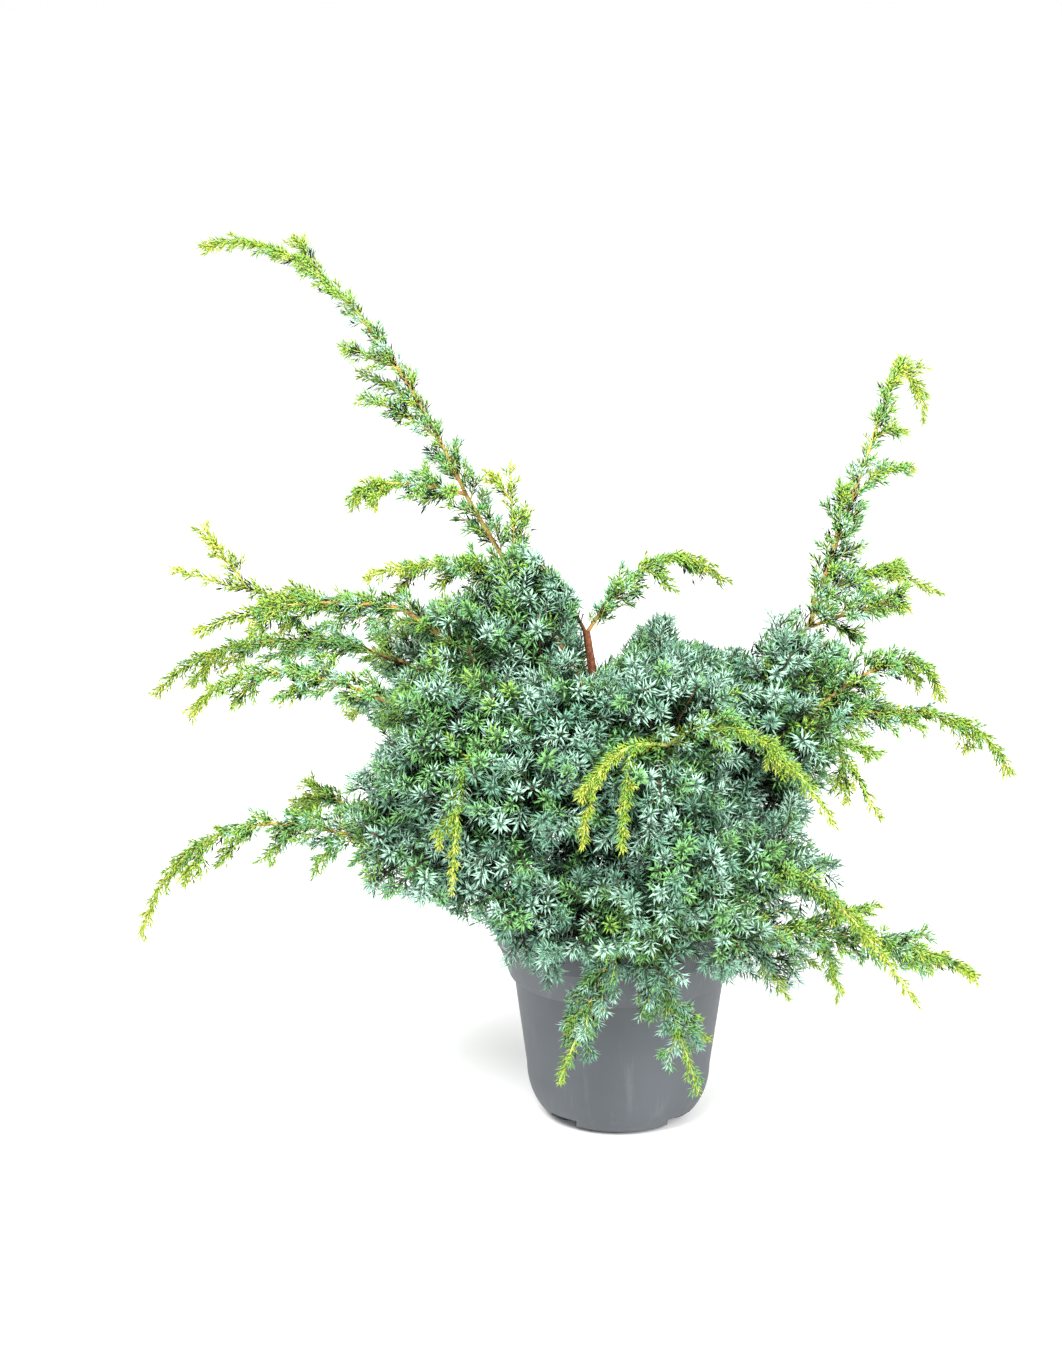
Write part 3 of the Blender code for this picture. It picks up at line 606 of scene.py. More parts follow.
def outer_profile():
    """From the axis out over the rim and down outside to the foot."""
    profile = [(0.0, POT_HEIGHT - LIP * 0.2)]
    profile += arc(RIM_RADIUS, POT_HEIGHT - LIP, LIP, 120, -30, 8)
    profile.append((RIM_RADIUS + LIP * 0.75, POT_HEIGHT - LIP * 2.2))
    profile.append((RIM_RADIUS, POT_HEIGHT - LIP * 2.6))
    profile.append((RIM_RADIUS, POT_HEIGHT - RIM_DEPTH + 0.8 * MM))
    profile += arc(RIM_RADIUS - 1.2 * MM, POT_HEIGHT - RIM_DEPTH + 0.6 * MM, 1.2 * MM, 0, -80, 4)
    profile.append((COLLAR_RADIUS + 0.6 * MM, COLLAR_HEIGHT + 1.5 * MM))
    profile += arc(COLLAR_RADIUS - 0.8 * MM, COLLAR_HEIGHT + 0.8 * MM, 0.8 * MM, 0, -90, 4)
    profile.append((BODY_TOP_RADIUS + 0.5 * MM, COLLAR_HEIGHT))
    profile.append((BODY_TOP_RADIUS, COLLAR_HEIGHT - 0.5 * MM))
    profile += foot_corner(0.0)
    profile.append((0.0, 0.0))
    return profile


def inner_profile():
    """From the axis out along the inner floor, up past the rim and back to the axis."""
    profile = [(0.0, WALL)]
    profile += reversed(foot_corner(WALL))
    profile.append((BODY_TOP_RADIUS - WALL, COLLAR_HEIGHT + WALL))
    profile.append((RIM_RADIUS - WALL, POT_HEIGHT - RIM_DEPTH + WALL))
    profile.append((RIM_RADIUS - WALL, POT_HEIGHT + LIP))
    profile.append((0.0, POT_HEIGHT + LIP))
    return profile


def turned(name, profile, segments):
    """A lathe form. The profile starts and ends on the axis."""
    radii = np.array([radius for radius, _ in profile[1:-1]])
    heights = np.array([height for _, height in profile[1:-1]])
    angles = np.linspace(0.0, math.tau, segments, endpoint=False)
    rings = np.empty((len(radii), segments, 3))
    rings[..., 0] = radii[:, None] * np.cos(angles)
    rings[..., 1] = radii[:, None] * np.sin(angles)
    rings[..., 2] = heights[:, None]
    return closed_rings(name, rings, (0, 0, profile[0][1]), (0, 0, profile[-1][1]))


def closed_rings(name, rings, first, last):
    """Joins rings of points one to the next, and closes both ends on a point."""
    count, sides, _ = rings.shape
    shape = bmesh.new()
    rows = [[shape.verts.new(point) for point in ring] for ring in rings.tolist()]
    ends = shape.verts.new(first), shape.verts.new(last)
    for number in range(count - 1):
        low, high = rows[number], rows[number + 1]
        for side in range(sides):
            after = (side + 1) % sides
            shape.faces.new((low[side], low[after], high[after], high[side]))
    for side in range(sides):
        after = (side + 1) % sides
        shape.faces.new((ends[0], rows[0][after], rows[0][side]))
        shape.faces.new((ends[1], rows[-1][side], rows[-1][after]))
    bmesh.ops.recalc_face_normals(shape, faces=shape.faces)
    mesh = bpy.data.meshes.new(name)
    shape.to_mesh(mesh)
    shape.free()
    return mesh


def notch_blocks(margin):
    """Blocks, larger by the margin, across the corner of the foot: two in front and two
    behind."""
    near = NOTCH_NEAR - margin
    blocks = []
    for side, end in [(1, 1), (-1, 1), (-1, -1), (1, -1)]:
        shape = bmesh.new()
        bmesh.ops.create_cube(shape, size=1.0)
        for point in shape.verts:
            point.co.x = side * NOTCH_ASIDE + point.co.x * (NOTCH_WIDTH + 2 * margin)
            point.co.y = end * (near + (point.co.y + 0.5) * (NOTCH_FAR - near))
            point.co.z *= (NOTCH_HEIGHT + margin) * 2
        bmesh.ops.recalc_face_normals(shape, faces=shape.faces)
        mesh = bpy.data.meshes.new("notch")
        shape.to_mesh(mesh)
        shape.free()
        block = add_object("notch", mesh)
        block.rotation_euler.z = NOTCH_TURN
        blocks.append(block)
    return blocks


def cut_by(thing, cutters):
    for cutter in cutters:
        cut = thing.modifiers.new("cut", "BOOLEAN")
        cut.operation = "DIFFERENCE"
        cut.solver = "EXACT"
        cut.object = cutter


def build_pot():
    """The outer form, less the inside and the notches, round which the wall goes on."""
    body = add_object("pot_blank", turned("pot_body", outer_profile(), POT_SEGMENTS))
    inside = add_object("pot_inside", turned("pot_inside", inner_profile(), POT_SEGMENTS))
    around = notch_blocks(WALL)
    notches = notch_blocks(0.0)
    cut_by(inside, around)
    cut_by(body, [inside] + notches)
    bpy.context.view_layer.update()
    ready = body.evaluated_get(bpy.context.evaluated_depsgraph_get())
    mesh = bpy.data.meshes.new_from_object(ready)
    for thing in [body, inside] + around + notches:
        bpy.data.objects.remove(thing)
    smooth(mesh, 32)
    add_piece("pot_shell", mesh, "pot", [pot_finish()], "pot")


def wall_inside(height):
    """The pot's inner radius at a height above its collar."""
    low = COLLAR_HEIGHT + WALL
    high = POT_HEIGHT - RIM_DEPTH + WALL
    share = min(1.0, (height - low) / (high - low))
    return BODY_TOP_RADIUS + (RIM_RADIUS - BODY_TOP_RADIUS) * share - WALL


def build_soil():
    """The compost's lumpy top, down to below the collar, and bits of bark on it."""
    edge = wall_inside(SOIL_TOP - SOIL_SAG) - GAP
    low = COLLAR_HEIGHT - 20 * MM
    angles = np.linspace(0.0, math.tau, SOIL_SEGMENTS, endpoint=False)
    rings = []
    for number in range(1, SOIL_RINGS + 1):
        share = number / SOIL_RINGS
        rings.append([soil_point(edge * share, angle, share) for angle in angles])
    collar = wall_inside(COLLAR_HEIGHT + WALL) - GAP
    foot = collar - 3 * MM
    for radius, height in ((collar, COLLAR_HEIGHT + WALL), (foot, low)):
        rings.append([(radius * math.cos(a), radius * math.sin(a), height) for a in angles])
    mesh = closed_rings("compost", np.array(rings), (0, 0, SOIL_TOP), (0, 0, low))
    smooth(mesh, 60)
    add_piece("compost", mesh, "soil", [soil_finish()], "soil")
    build_chips(edge)


def soil_point(radius, angle, share):
    x = radius * math.cos(angle)
    y = radius * math.sin(angle)
    lumps = noise.fractal(Vector((x, y, 0.0)) * 70.0, 1.0, 2.0, 4)
    fade = 1.0 - share ** 6
    height = SOIL_TOP - SOIL_SAG * share ** 3 + SOIL_LUMPS * lumps * fade
    return (x, y, min(height, SOIL_TOP + SOIL_LUMPS))


def build_chips(edge):
    """Flat, rough bits of bark that lie on the compost."""
    dice = np.random.default_rng(SEED)
    points = []
    faces = []
    box = [(0, 1, 3, 2), (4, 6, 7, 5), (0, 4, 5, 1), (2, 3, 7, 6), (0, 2, 6, 4), (1, 5, 7, 3)]
    for number in range(CHIPS):
        radius = (edge - 7 * MM) * math.sqrt(dice.uniform(0.01, 1.0))
        angle = dice.uniform(0.0, math.tau)
        size = dice.uniform(2.0, 6.0) * MM
        turn = dice.uniform(0.0, math.tau)
        tilt = dice.uniform(-0.35, 0.35)
        middle = soil_point(radius, angle, radius / edge)
        spin = Quaternion((0, 0, 1), turn) @ Quaternion((1, 0, 0), tilt)
        for corner in range(8):
            signs = Vector((corner & 1, corner >> 1 & 1, corner >> 2 & 1)) * 2 - Vector((1, 1, 1))
            rough = [dice.uniform(0.6, 1.0) for _ in range(3)]
            spot = Vector(s * r for s, r in zip(signs, rough))
            spot = Vector((spot.x * size, spot.y * size * 0.5, spot.z * size * 0.16))
            points.append(tuple(Vector(middle) + spin @ spot))
        faces += [[number * 8 + corner for corner in face] for face in box]
    mesh = mesh_of("bark_chips", np.array(points), np.array(faces))
    add_piece("bark_chips", mesh, "soil", [chip_finish()], "soil")


# Limbs, by the source's rule


class Bow:
    """A bowed line. Its handle stands `lean` of the way along and `arch` lengths up."""

    def __init__(self, start, tip, lean, arch):
        chord = tip - start
        self.start = start
        self.tip = tip
        self.handle = start + chord * lean + UP * chord.length * arch

    def at(self, share):
        back = 1.0 - share
        bend = self.handle * 2 * back * share
        return self.start * back * back + bend + self.tip * share * share

    def points(self, step):
        length = sum((self.at((i + 1) / 40) - self.at(i / 40)).length for i in range(40))
        count = max(3, round(length / step))
        return [self.at(i / count) for i in range(count + 1)]


class Limb:
    """A trunk or bough: its line, its radii, and what starts at its tip."""

    def __init__(self, points, radii):
        self.points = points
        self.radii = radii
        self.tip = points[-1]
        self.way = (points[-1] - points[-2]).normalized()
        self.children = 0
        self.samples = np.array([(*p, r) for p, r in self.fine_points()])

    def fine_points(self):
        for start, end, big, small in zip(
            self.points, self.points[1:], self.radii, self.radii[1:]
        ):
            parts = max(1, round((end - start).length / (1.5 * MM)))
            for i in range(parts + 1):
                yield start.lerp(end, i / parts), big + (small - big) * i / parts

    def clearance(self, points):
        """How far each point lies outside this limb."""
        spots = np.array(points).reshape(-1, 1, 3)
        away = np.linalg.norm(spots - self.samples[None, :, :3], axis=2)
        return (away - self.samples[None, :, 3]).min(axis=1)


def trunk_line():
    points = []
    radii = []
    for height, (x, y), radius in TRUNK_RINGS:
        points.append(place(x, y, height) + UP * (SOIL_TOP + GAP))
        radii.append(radius * MM)
    return points, radii


def trunk_at(height):
    points, _ = trunk_line()
    for low, high in zip(points, points[1:]):
        if height <= high.z:
            return low.lerp(high, (height - low.z) / (high.z - low.z))
    return points[-1]


def ring_round(centre, way, radius):
    side = way.orthogonal().normalized()
    return [centre + Quaternion(way, math.tau * i / 12) @ side * radius for i in range(12)]


def slide_clear(limb, start, way, radius, towards):
    while min(limb.clearance(ring_round(start, way, radius) + [start])) < GAP * 1.2:
        start = start + towards * 0.05 * MM
    return start


def first_way(root, tip, lean, arch, step):
    return (Bow(root, tip, lean, arch).points(step)[1] - root).normalized()


def limb_start(carrier, tip, lean, arch, radius, step):
    """Where a limb starts: on the trunk at a height, or at the end of another limb. Also
    where its wood is rooted, on the line of what carries it."""
    if not isinstance(carrier, str):
        root = trunk_at(carrier)
        way = first_way(root, tip, lean, arch, step)
        return slide_clear(LIMBS["trunk"], root, way, radius, way), root
    limb = LIMBS[carrier]
    way = first_way(limb.tip, tip, lean, arch, step)
    aside = way - limb.way * way.dot(limb.way)
    limb.children += 1
    if limb.children == 1:
        start = limb.tip + limb.way * (GAP + radius * END_SPARE * aside.length)
        return start, limb.tip - limb.way * ROOT_INSIDE
    back = radius + SIBLING_STEP * (limb.children - 2)
    root = limb.tip - limb.way * back
    return slide_clear(limb, root, way, radius, aside.normalized()), root


def build_trunk():
    points, radii = trunk_line()
    LIMBS["trunk"] = Limb(points, radii)
    leafy = Bow(trunk_at(LEAFY_LOW), trunk_at(LEAFY_HIGH), 0.5, 0.0)
    LEAFY.extend([(leafy, 0.0, 1.0), (leafy, 0.0, 0.4), (leafy, 0.0, 0.4)])
    line = []
    widths = []
    for number in range(len(points) - 1):
        parts = max(2, round((points[number + 1] - points[number]).length / BARK_STEP))
        for part in range(parts):
            line.append(spline(points, number, part / parts))
            widths.append(spline(radii, number, part / parts))
    line.append(points[-1])
    widths.append(radii[-1])
    for number, point in enumerate(line):
        above = min(1.0, max(0.0, (point.z - SOIL_TOP - KNOT_TOP) / (8 * MM)))
        widths[number] *= 1.0 - TOP_SLIMMING * above
    mesh = bark_mesh("trunk", line, widths, TRUNK_SIDES, 0.16, 5)
    finish = bark_finish("trunk_bark", (64, 34, 22), (124, 70, 42), (176, 116, 72))
    add_piece("trunk_bark", mesh, "trunk", [finish], "trunk")


def spline(values, number, share):
    """A smooth value between one entry of a list and the next."""
    before = values[max(0, number - 1)]
    start = values[number]
    end = values[number + 1]
    after = values[min(len(values) - 1, number + 2)]
    slope_in = (end - before) * 0.5
    slope_out = (after - start) * 0.5
    square = share * share
    cube = square * share
    return (
        start * (2 * cube - 3 * square + 1) + slope_in * (cube - 2 * square + share)
        + end * (3 * square - 2 * cube) + slope_out * (cube - square)
    )


def bark_mesh(name, line, widths, sides, depth, seed):
    """A limb with long furrows and flakes: each point is moved in or out by a noise
    that is stretched along the limb."""
    rings = []
    along = 0.0
    side = None
    for number, centre in enumerate(line):
        ahead = line[min(number + 1, len(line) - 1)]
        behind = line[max(number - 1, 0)]
        way = (ahead - behind).normalized()
        along += (centre - behind).length
        side = way.orthogonal() if side is None else side - way * side.dot(way)
        side = side.normalized()
        ring = []
        for step in range(sides):
            angle = math.tau * step / sides
            out = Quaternion(way, angle) @ side
            spot = Vector((math.cos(angle) * 2.2, math.sin(angle) * 2.2, along * 60 + seed * 7))
            flake = noise.fractal(spot, 0.8, 2.1, 4)
            swell = noise.noise(Vector((math.cos(angle), math.sin(angle), along * 25 + seed)))
            relief = 1.0 + depth * (0.6 * flake + 0.5 * swell)
            ring.append(tuple(centre + out * widths[number] * relief))
        rings.append(ring)
    mesh = closed_rings(name, np.array(rings), line[0], line[-1])
    smooth(mesh, 50)
    return mesh


def bough(name, carrier, tip, lean, arch, thick, thin, leafy=0.2):
    """One tapering limb, whose root goes on into what carries it. It bears twigs of its
    own from the share `leafy` of its length."""
    start, root = limb_start(carrier, tip, lean, arch, thick, BOUGH_STEP)
    curve = Bow(start, tip, lean, arch)
    points = curve.points(BOUGH_STEP)
    count = len(points) - 1
    radii = [thick + (thin - thick) * i / count for i in range(count + 1)]
    LIMBS[name] = Limb(points, radii)
    if leafy < 1.0:
        LEAFY.append((curve, leafy, 1.0))
    SPRIGGED.append((curve, SPRIGS_FROM, 1.0))
    fine = curve.points(BARK_STEP)
    line = [root.lerp(start, share) for share in (0.0, 0.34, 0.67)] + fine
    last = len(fine) - 1
    widths = [thick] * 3 + [thick + (thin - thick) * i / last for i in range(last + 1)]
    widths = [w * BOUGH_SHARE * (1 + 0.15 * math.exp(-i / 3.5)) for i, w in enumerate(widths)]
    mesh = bark_mesh(name, line, widths, BOUGH_SIDES, 0.13, len(LIMBS))
    add_piece("bark_" + name, mesh, "bough", [BOUGH_BARK], "bough_" + name)


class Mass:
    """A mass of foliage: its stem, and the forks and twigs that the source gives it."""

    def __init__(self, name, root, bow, twigs, twig_length, onward, droop, habit):
        self.name = name
        self.root = root
        self.bows = [bow]
        self.lines = [bow.points(WHORL_STEP)]
        self.twigs = twigs
        self.twig_length = twig_length
        self.onward = onward
        self.droop = droop
        self.habit = habit
        self.forks = 0
        self.random = random.Random(f"{name} {SEED}")

    def add(self, bow):
        self.bows.append(bow)
        self.lines.append(bow.points(TWIG_STEP))

    def skeleton(self):
        return np.concatenate([dense_line(line) for line in self.lines])


def dense_line(line):
    points = []
    for start, end in zip(line, line[1:]):
        parts = max(1, round((end - start).length / (2 * MM)))
        points += [start.lerp(end, i / parts) for i in range(parts)]
    return np.array(points + [line[-1]])


def plume(
    name, carrier, tip, lean, arch, forks=(), twigs=1, twig_length=30 * MM,
    onward=PLUME_ONWARD, droop=PLUME_DROOP, habit=PLUME, sleeve=SLEEVE,
):
    start, root = limb_start(carrier, tip, lean, arch, STEM_RADIUS * STEM_SEAT, WHORL_STEP)
    stem = Bow(start, tip, lean, arch)
    if habit in (PLUME, FRESH_PLUME):
        SPRIGGED.append((stem, 0.0, sleeve))
    mass = Mass(name, root, stem, twigs, twig_length, onward, droop, habit)
    for share, fork_tip, fork_lean, fork_arch in forks:
        mass.add(Bow(stem.at(share), fork_tip, fork_lean, fork_arch))
        mass.forks += 1
    MASSES.append(mass)


def heart_masses():
    for number in range(HEART_COUNT):
        rise = number / (HEART_COUNT - 1)
        heading = HEART_FIRST_HEADING + GOLDEN_ANGLE * number
        reach = HEART_REACH + (HEART_TOP_REACH - HEART_REACH) * rise ** 2
        height = HEART_LOW + (HEART_HIGH - HEART_LOW) * rise
        tip = Vector((math.cos(heading) * reach, math.sin(heading) * reach, height))
        foot = HEART_FOOT + (HEART_FOOT_TOP - HEART_FOOT) * rise
        plume(
            f"heart_{number + 1:02d}", foot, tip, 0.5, 0.12 - 0.04 * rise,
            twigs=HEART_TWIGS, twig_length=HEART_TWIG_LENGTH, onward=HEART_ONWARD, droop=0.0,
            habit=HEART,
        )


def others_skeleton(mass):
    return np.concatenate([other.skeleton() for other in MASSES if other is not mass])


def distance_to(cloud, points):
    spots = np.array(points).reshape(-1, 1, 3)
    return np.linalg.norm(spots - cloud[None, :, :], axis=2).min(axis=1)


def clear_of_solids(points, margin):
    for limb in LIMBS.values():
        if limb.clearance(points).min() < margin:
            return False
    for point in points:
        outward = math.hypot(point[0], point[1])
        if point[2] < POT_HEIGHT + margin and outward < RIM_RADIUS + LIP + margin:
            return False
    return True


def grow_twigs(mass):
    """Twigs leave the stem round a golden-angle spiral, as in the source."""
    stem = mass.lines[0]
    forks = mass.bows[1:]
    others = others_skeleton(mass)
    wanted = mass.twigs
    for number in range(wanted):
        spot = 0.22 + 0.66 * (number + 0.5) / wanted
        index = min(len(stem) - 2, max(1, round(spot * (len(stem) - 1))))
        if any((fork.start - stem[index]).length < FORK_CLEAR for fork in forks):
            continue
        along = (stem[index + 1] - stem[index]).normalized()
        side = along.orthogonal().normalized()
        roll = GOLDEN_ANGLE * number + mass.random.uniform(0.0, 1.0)
        length = mass.twig_length * (1.15 - 0.5 * spot) * mass.random.uniform(0.85, 1.1)
        for attempt in range(8):
            out = Quaternion(along, roll + math.tau * attempt / 8) @ side
            first = along * math.cos(TWIG_SPREAD) + out * math.sin(TWIG_SPREAD)
            bent = (first + along * mass.onward - UP * mass.droop).normalized()
            tip = stem[index] + bent * length
            twig = Bow(stem[index], tip, 0.5, 0.08)
            outer = [tuple(point) for point in twig.points(TWIG_STEP)[1:]]
            if distance_to(others, outer).min() < TWIG_CLEAR:
                continue
            if not clear_of_solids(outer, TWIG_RADIUS + TWIG_CLEAR / 2):
                continue
            if distance_to(mass.skeleton(), outer[-1:]).min() < TWIG_CLEAR:
                continue
            mass.add(twig)
            break


# The plant, limb by limb, in the source's rows


def left_side():
    bough("leader_foot", 283 * MM, place(-68, 20, 366), 0.5, 0.03, 4.2 * MM, 3.0 * MM)
    bough("leader_shaft", "leader_foot", place(-104, 30, 423), 0.5, -0.06, 2.9 * MM, 2.3 * MM,
          leafy=1.0)
    plume("leader", "leader_shaft", place(-272, 20, 586), 0.5, 0.46, sleeve=0.06, forks=[
        (0.10, place(-170, 17, 488), 0.5, 0.12),
        (0.15, place(-171, 43, 500), 0.5, 0.12),
        (0.25, place(-181, 20, 520), 0.5, 0.1),
        (0.55, place(-214, 31, 589), 0.5, 0.1),
    ])
    plume("leader_spur", "leader_shaft", place(-172, -30, 429), 0.92, 0.24)
    plume("leader_sprig", "leader_foot", place(-73, 10, 445), 0.67, -0.52, twigs=2)
    plume("shoulder", "leader_foot", place(-164, -60, 386), 0.4, 0.22, sleeve=0.4, forks=[
        (0.40, place(-119, -20, 371), 0.5, 0.1),
        (0.65, place(-145, -25, 369), 0.5, 0.1),
    ])
    bough("upper_left", 268 * MM, place(-142, -50, 364), 0.5, -0.04, 4.0 * MM, 2.5 * MM)
    plume("upper_left", "upper_left", place(-288, -60, 391), 0.28, -0.1, forks=[
        (0.75, place(-267, -59, 417), 0.5, 0.0),
        (0.40, place(-214, -45, 375), 0.5, 0.1),
    ])
    plume("upper_left_low", "upper_left", place(-268, -100, 359), 0.55, 0.17, forks=[
        (0.33, place(-216, -74, 356), 0.5, 0.15),
    ])
    bough("left", 246 * MM, place(-163, 30, 314), 0.5, 0.03, 4.0 * MM, 2.4 * MM)
    plume("left", "left", place(-313, 40, 281), 0.7, 0.3, forks=[
        (0.15, place(-240, 26, 307), 0.5, 0.12),
        (0.35, place(-270, 38, 300), 0.5, 0.12),
        (0.57, place(-288, 33, 290), 0.5, 0.1),
    ])
    bough("left_front", 226 * MM, place(-166, -100, 322), 0.5, 0.0, 3.8 * MM, 2.3 * MM)
    plume("left_front", "left_front", place(-270, -130, 313), 0.72, 0.38, forks=[
        (0.15, place(-215, -111, 320), 0.5, 0.1),
        (0.45, place(-242, -113, 317), 0.5, 0.1),
    ])
    bough("low_left", 184 * MM, place(-153, -80, 211), 0.5, 0.03, 4.2 * MM, 2.4 * MM)
    plume("low_left", "low_left", place(-308, -110, 160), 0.79, 0.59, forks=[
        (0.10, place(-198, -91, 197), 0.5, 0.1),
        (0.23, place(-230, -86, 204), 0.5, 0.1),
        (0.38, place(-257, -100, 205), 0.5, 0.1),
    ])
    plume("low_left_twin", "low_left", place(-216, -30, 224), 0.53, 0.4, forks=[
        (0.40, place(-205, -51, 246), 0.5, 0.1),
    ])


def top_fork():
    plume("fork_left", "trunk", place(-55, -12, 387), 0.3, 0.09, twigs=2, forks=[
        (0.50, place(-56, -11, 366), 0.5, 0.1),
    ], habit=CLUMP)
    plume("fork_right", "trunk", place(67, 20, 366), 0.53, 0.65, twigs=2, forks=[
        (0.38, place(31, 0, 366), 0.5, 0.2),
        (0.60, place(53, 22, 372), 0.5, 0.15),
    ])


def right_side():
    bough("right", 212 * MM, place(86, 0, 244), 0.5, 0.05, 4.2 * MM, 3.2 * MM)
    bough("right_leader", "right", place(127, 30, 339), 0.26, 0.29, 3.0 * MM, 2.2 * MM)
    plume("right_leader", "right_leader", place(183, 50, 505), 0.92, 0.05, sleeve=0.25, forks=[
        (0.12, place(147, 24, 429), 0.5, 0.1),
        (0.28, place(191, 47, 437), 0.5, 0.35),
        (0.47, place(183, 38, 463), 0.5, 0.3),
        (0.82, place(200, 49, 471), 0.6, 0.7),
    ])
    plume("right_arch", "right_leader", place(213, 60, 349), 0.26, 0.51, sleeve=0.35, forks=[
        (0.35, place(169, 28, 359), 0.5, 0.1),
    ])
    plume("right_reach", "right_leader", place(183, 0, 354), 0.92, 0.13, sleeve=0.45, forks=[
        (0.12, place(156, 15, 327), 0.5, 0.1),
    ])
    bough("right_arm", "right", place(118, -30, 283), 0.5, 0.05, 2.4 * MM, 2.1 * MM)
    plume("right_far", "right_arm", place(254, -30, 250), 0.83, 0.39, forks=[
        (0.20, place(198, -35, 281), 0.5, 0.12),
        (0.53, place(230, -26, 268), 0.5, 0.1),
    ])
    plume("right_bow", "right_arm", place(206, -50, 306), 0.86, 0.62, sleeve=0.4, forks=[
        (0.20, place(164, -37, 307), 0.5, 0.1),
        (0.47, place(193, -38, 312), 0.5, 0.15),
    ])
    plume("right_drop", "right_arm", place(167, -80, 233), 0.34, 0.45, forks=[
        (0.53, place(168, -44, 266), 0.5, 0.1),
        (0.65, place(146, -64, 240), 0.5, 0.1),
    ])
    bough("low_right", 168 * MM, place(76, -80, 173), 0.5, 0.06, 4.0 * MM, 2.5 * MM)
    plume("low_right", "low_right", place(189, -150, 131), 0.27, 0.61, sleeve=0.4, forks=[
        (0.55, place(136, -115, 180), 0.5, 0.1),
        (0.70, place(159, -119, 168), 0.5, 0.1),
    ])
    plume("low_right_skirt", "low_right", place(108, -80, 114), 0.37, -0.03, forks=[
        (0.28, place(126, -72, 131), 0.5, 0.1),
    ])


def front_side():
    bough("front", 240 * MM, place(30, -100, 287), 0.5, 0.02, 3.6 * MM, 2.3 * MM)
    plume("front_arc", "front", place(135, -140, 246), 0.5, 0.56, sleeve=0.3, forks=[
        (0.57, place(104, -127, 278), 0.5, 0.1),
    ], habit=FRESH_PLUME)
    plume("front_hanging", "front", place(-23, -170, 242), 0.91, 0.7, forks=[
        (0.25, place(1, -168, 239), 0.6, 0.1),
    ], habit=HANGING)
    bough("front_left", 206 * MM, place(-98, -120, 282), 0.5, 0.02, 3.2 * MM, 2.2 * MM)
    plume("front_left_hanging", "front_left", place(-105, -158, 208), 0.3, 0.3, habit=HANGING)
    bough("front_low", 160 * MM, place(8, -92, 168), 0.5, 0.08, 3.4 * MM, 2.3 * MM)
    plume("pot_left", "front_low", place(-38, -116, 65), 0.44, 0.1, sleeve=0.75, forks=[
        (0.38, place(-28, -98, 114), 0.5, 0.1),
    ])
    plume("pot_right", "front_low", place(52, -112, 57), 0.42, 0.12, sleeve=0.75, forks=[
        (0.30, place(16, -100, 105), 0.5, 0.1),
        (0.55, place(54, -95, 86), 0.5, 0.15),
    ])
    plume("low_right_side", "front_low", place(226, -112, 138), 0.92, 0.1, sleeve=0.6, forks=[
        (0.33, place(165, -90, 177), 0.5, 0.1),
        (0.35, place(143, -105, 124), 0.5, 0.15),
        (0.53, place(184, -108, 148), 0.5, 0.1),
        (0.60, place(203, -102, 143), 0.5, 0.1),
    ])


def back_side():
    bough("back_left", 216 * MM, place(-80, 100, 256), 0.5, 0.04, 3.8 * MM, 2.4 * MM)
    plume("back_left", "back_left", place(-195, 185, 226), 0.5, 0.25, twigs=4)
    plume("back_left_low", "back_left", place(-75, 220, 196), 0.5, 0.25, twigs=3)
    bough("back", 256 * MM, place(8, 125, 262), 0.5, 0.04, 3.8 * MM, 2.4 * MM)
    plume("back", "back", place(25, 262, 236), 0.5, 0.2, twigs=4)
    bough("back_right", 198 * MM, place(92, 92, 238), 0.5, 0.04, 3.8 * MM, 2.4 * MM)
    plume("back_right", "back_right", place(200, 172, 232), 0.5, 0.25, twigs=4)
    plume("back_right_low", "back_right", place(108, 215, 180), 0.5, 0.25, twigs=4)


# Finer growth, many shoots at a time


class Shoots:
    """Many bowed shoots: start, handle, tip, and how far out in the mass each starts
    and ends, from 0 at the foot of the mass's stem to 1 at its tip."""

    def __init__(self, start, handle, tip, inner, outer):
        self.start = start
        self.handle = handle
        self.tip = tip
        self.inner = inner
        self.outer = outer
        self.length = self.measure()

    def measure(self):
        bends = np.linalg.norm(self.handle - self.start, axis=1)
        ends = np.linalg.norm(self.tip - self.handle, axis=1)
        chords = np.linalg.norm(self.tip - self.start, axis=1)
        return (bends + ends + chords) / 2

    def at(self, owner, share):
        back = (1 - share)[:, None]
        share = share[:, None]
        start, handle, tip = self.start[owner], self.handle[owner], self.tip[owner]
        return start * back * back + handle * 2 * back * share + tip * share * share

    def way(self, owner, share):
        share = share[:, None]
        first = self.handle[owner] - self.start[owner]
        second = self.tip[owner] - self.handle[owner]
        return unit(first * (1 - share) + second * share)

    def chosen(self, keep):
        return Shoots(
            self.start[keep], self.handle[keep], self.tip[keep],
            self.inner[keep], self.outer[keep],
        )

    def joined(self, other):
        pairs = [(self.start, other.start), (self.handle, other.handle), (self.tip, other.tip)]
        pairs += [(self.inner, other.inner), (self.outer, other.outer)]
        return Shoots(*[np.concatenate(pair) for pair in pairs])


def source_shoots(mass):
    """The stem, forks and twigs of the source's rule."""
    inner = [0.0]
    outer = [1.0]
    for number, bow in enumerate(mass.bows[1:]):
        share = nearest_share(mass.bows[0], bow.start)
        inner.append(share)
        outer.append(min(1.0, share + (0.45 if number < mass.forks else 0.25)))
    starts = [mass.root] + [bow.start for bow in mass.bows[1:]]
    handles = np.array([bow.handle for bow in mass.bows])
    tips = np.array([bow.tip for bow in mass.bows])
    return Shoots(np.array(starts), handles, tips, np.array(inner), np.array(outer))


def nearest_share(bow, point):
    shares = [i / 40 for i in range(41)]
    return min(shares, key=lambda share: (bow.at(share) - point).length)


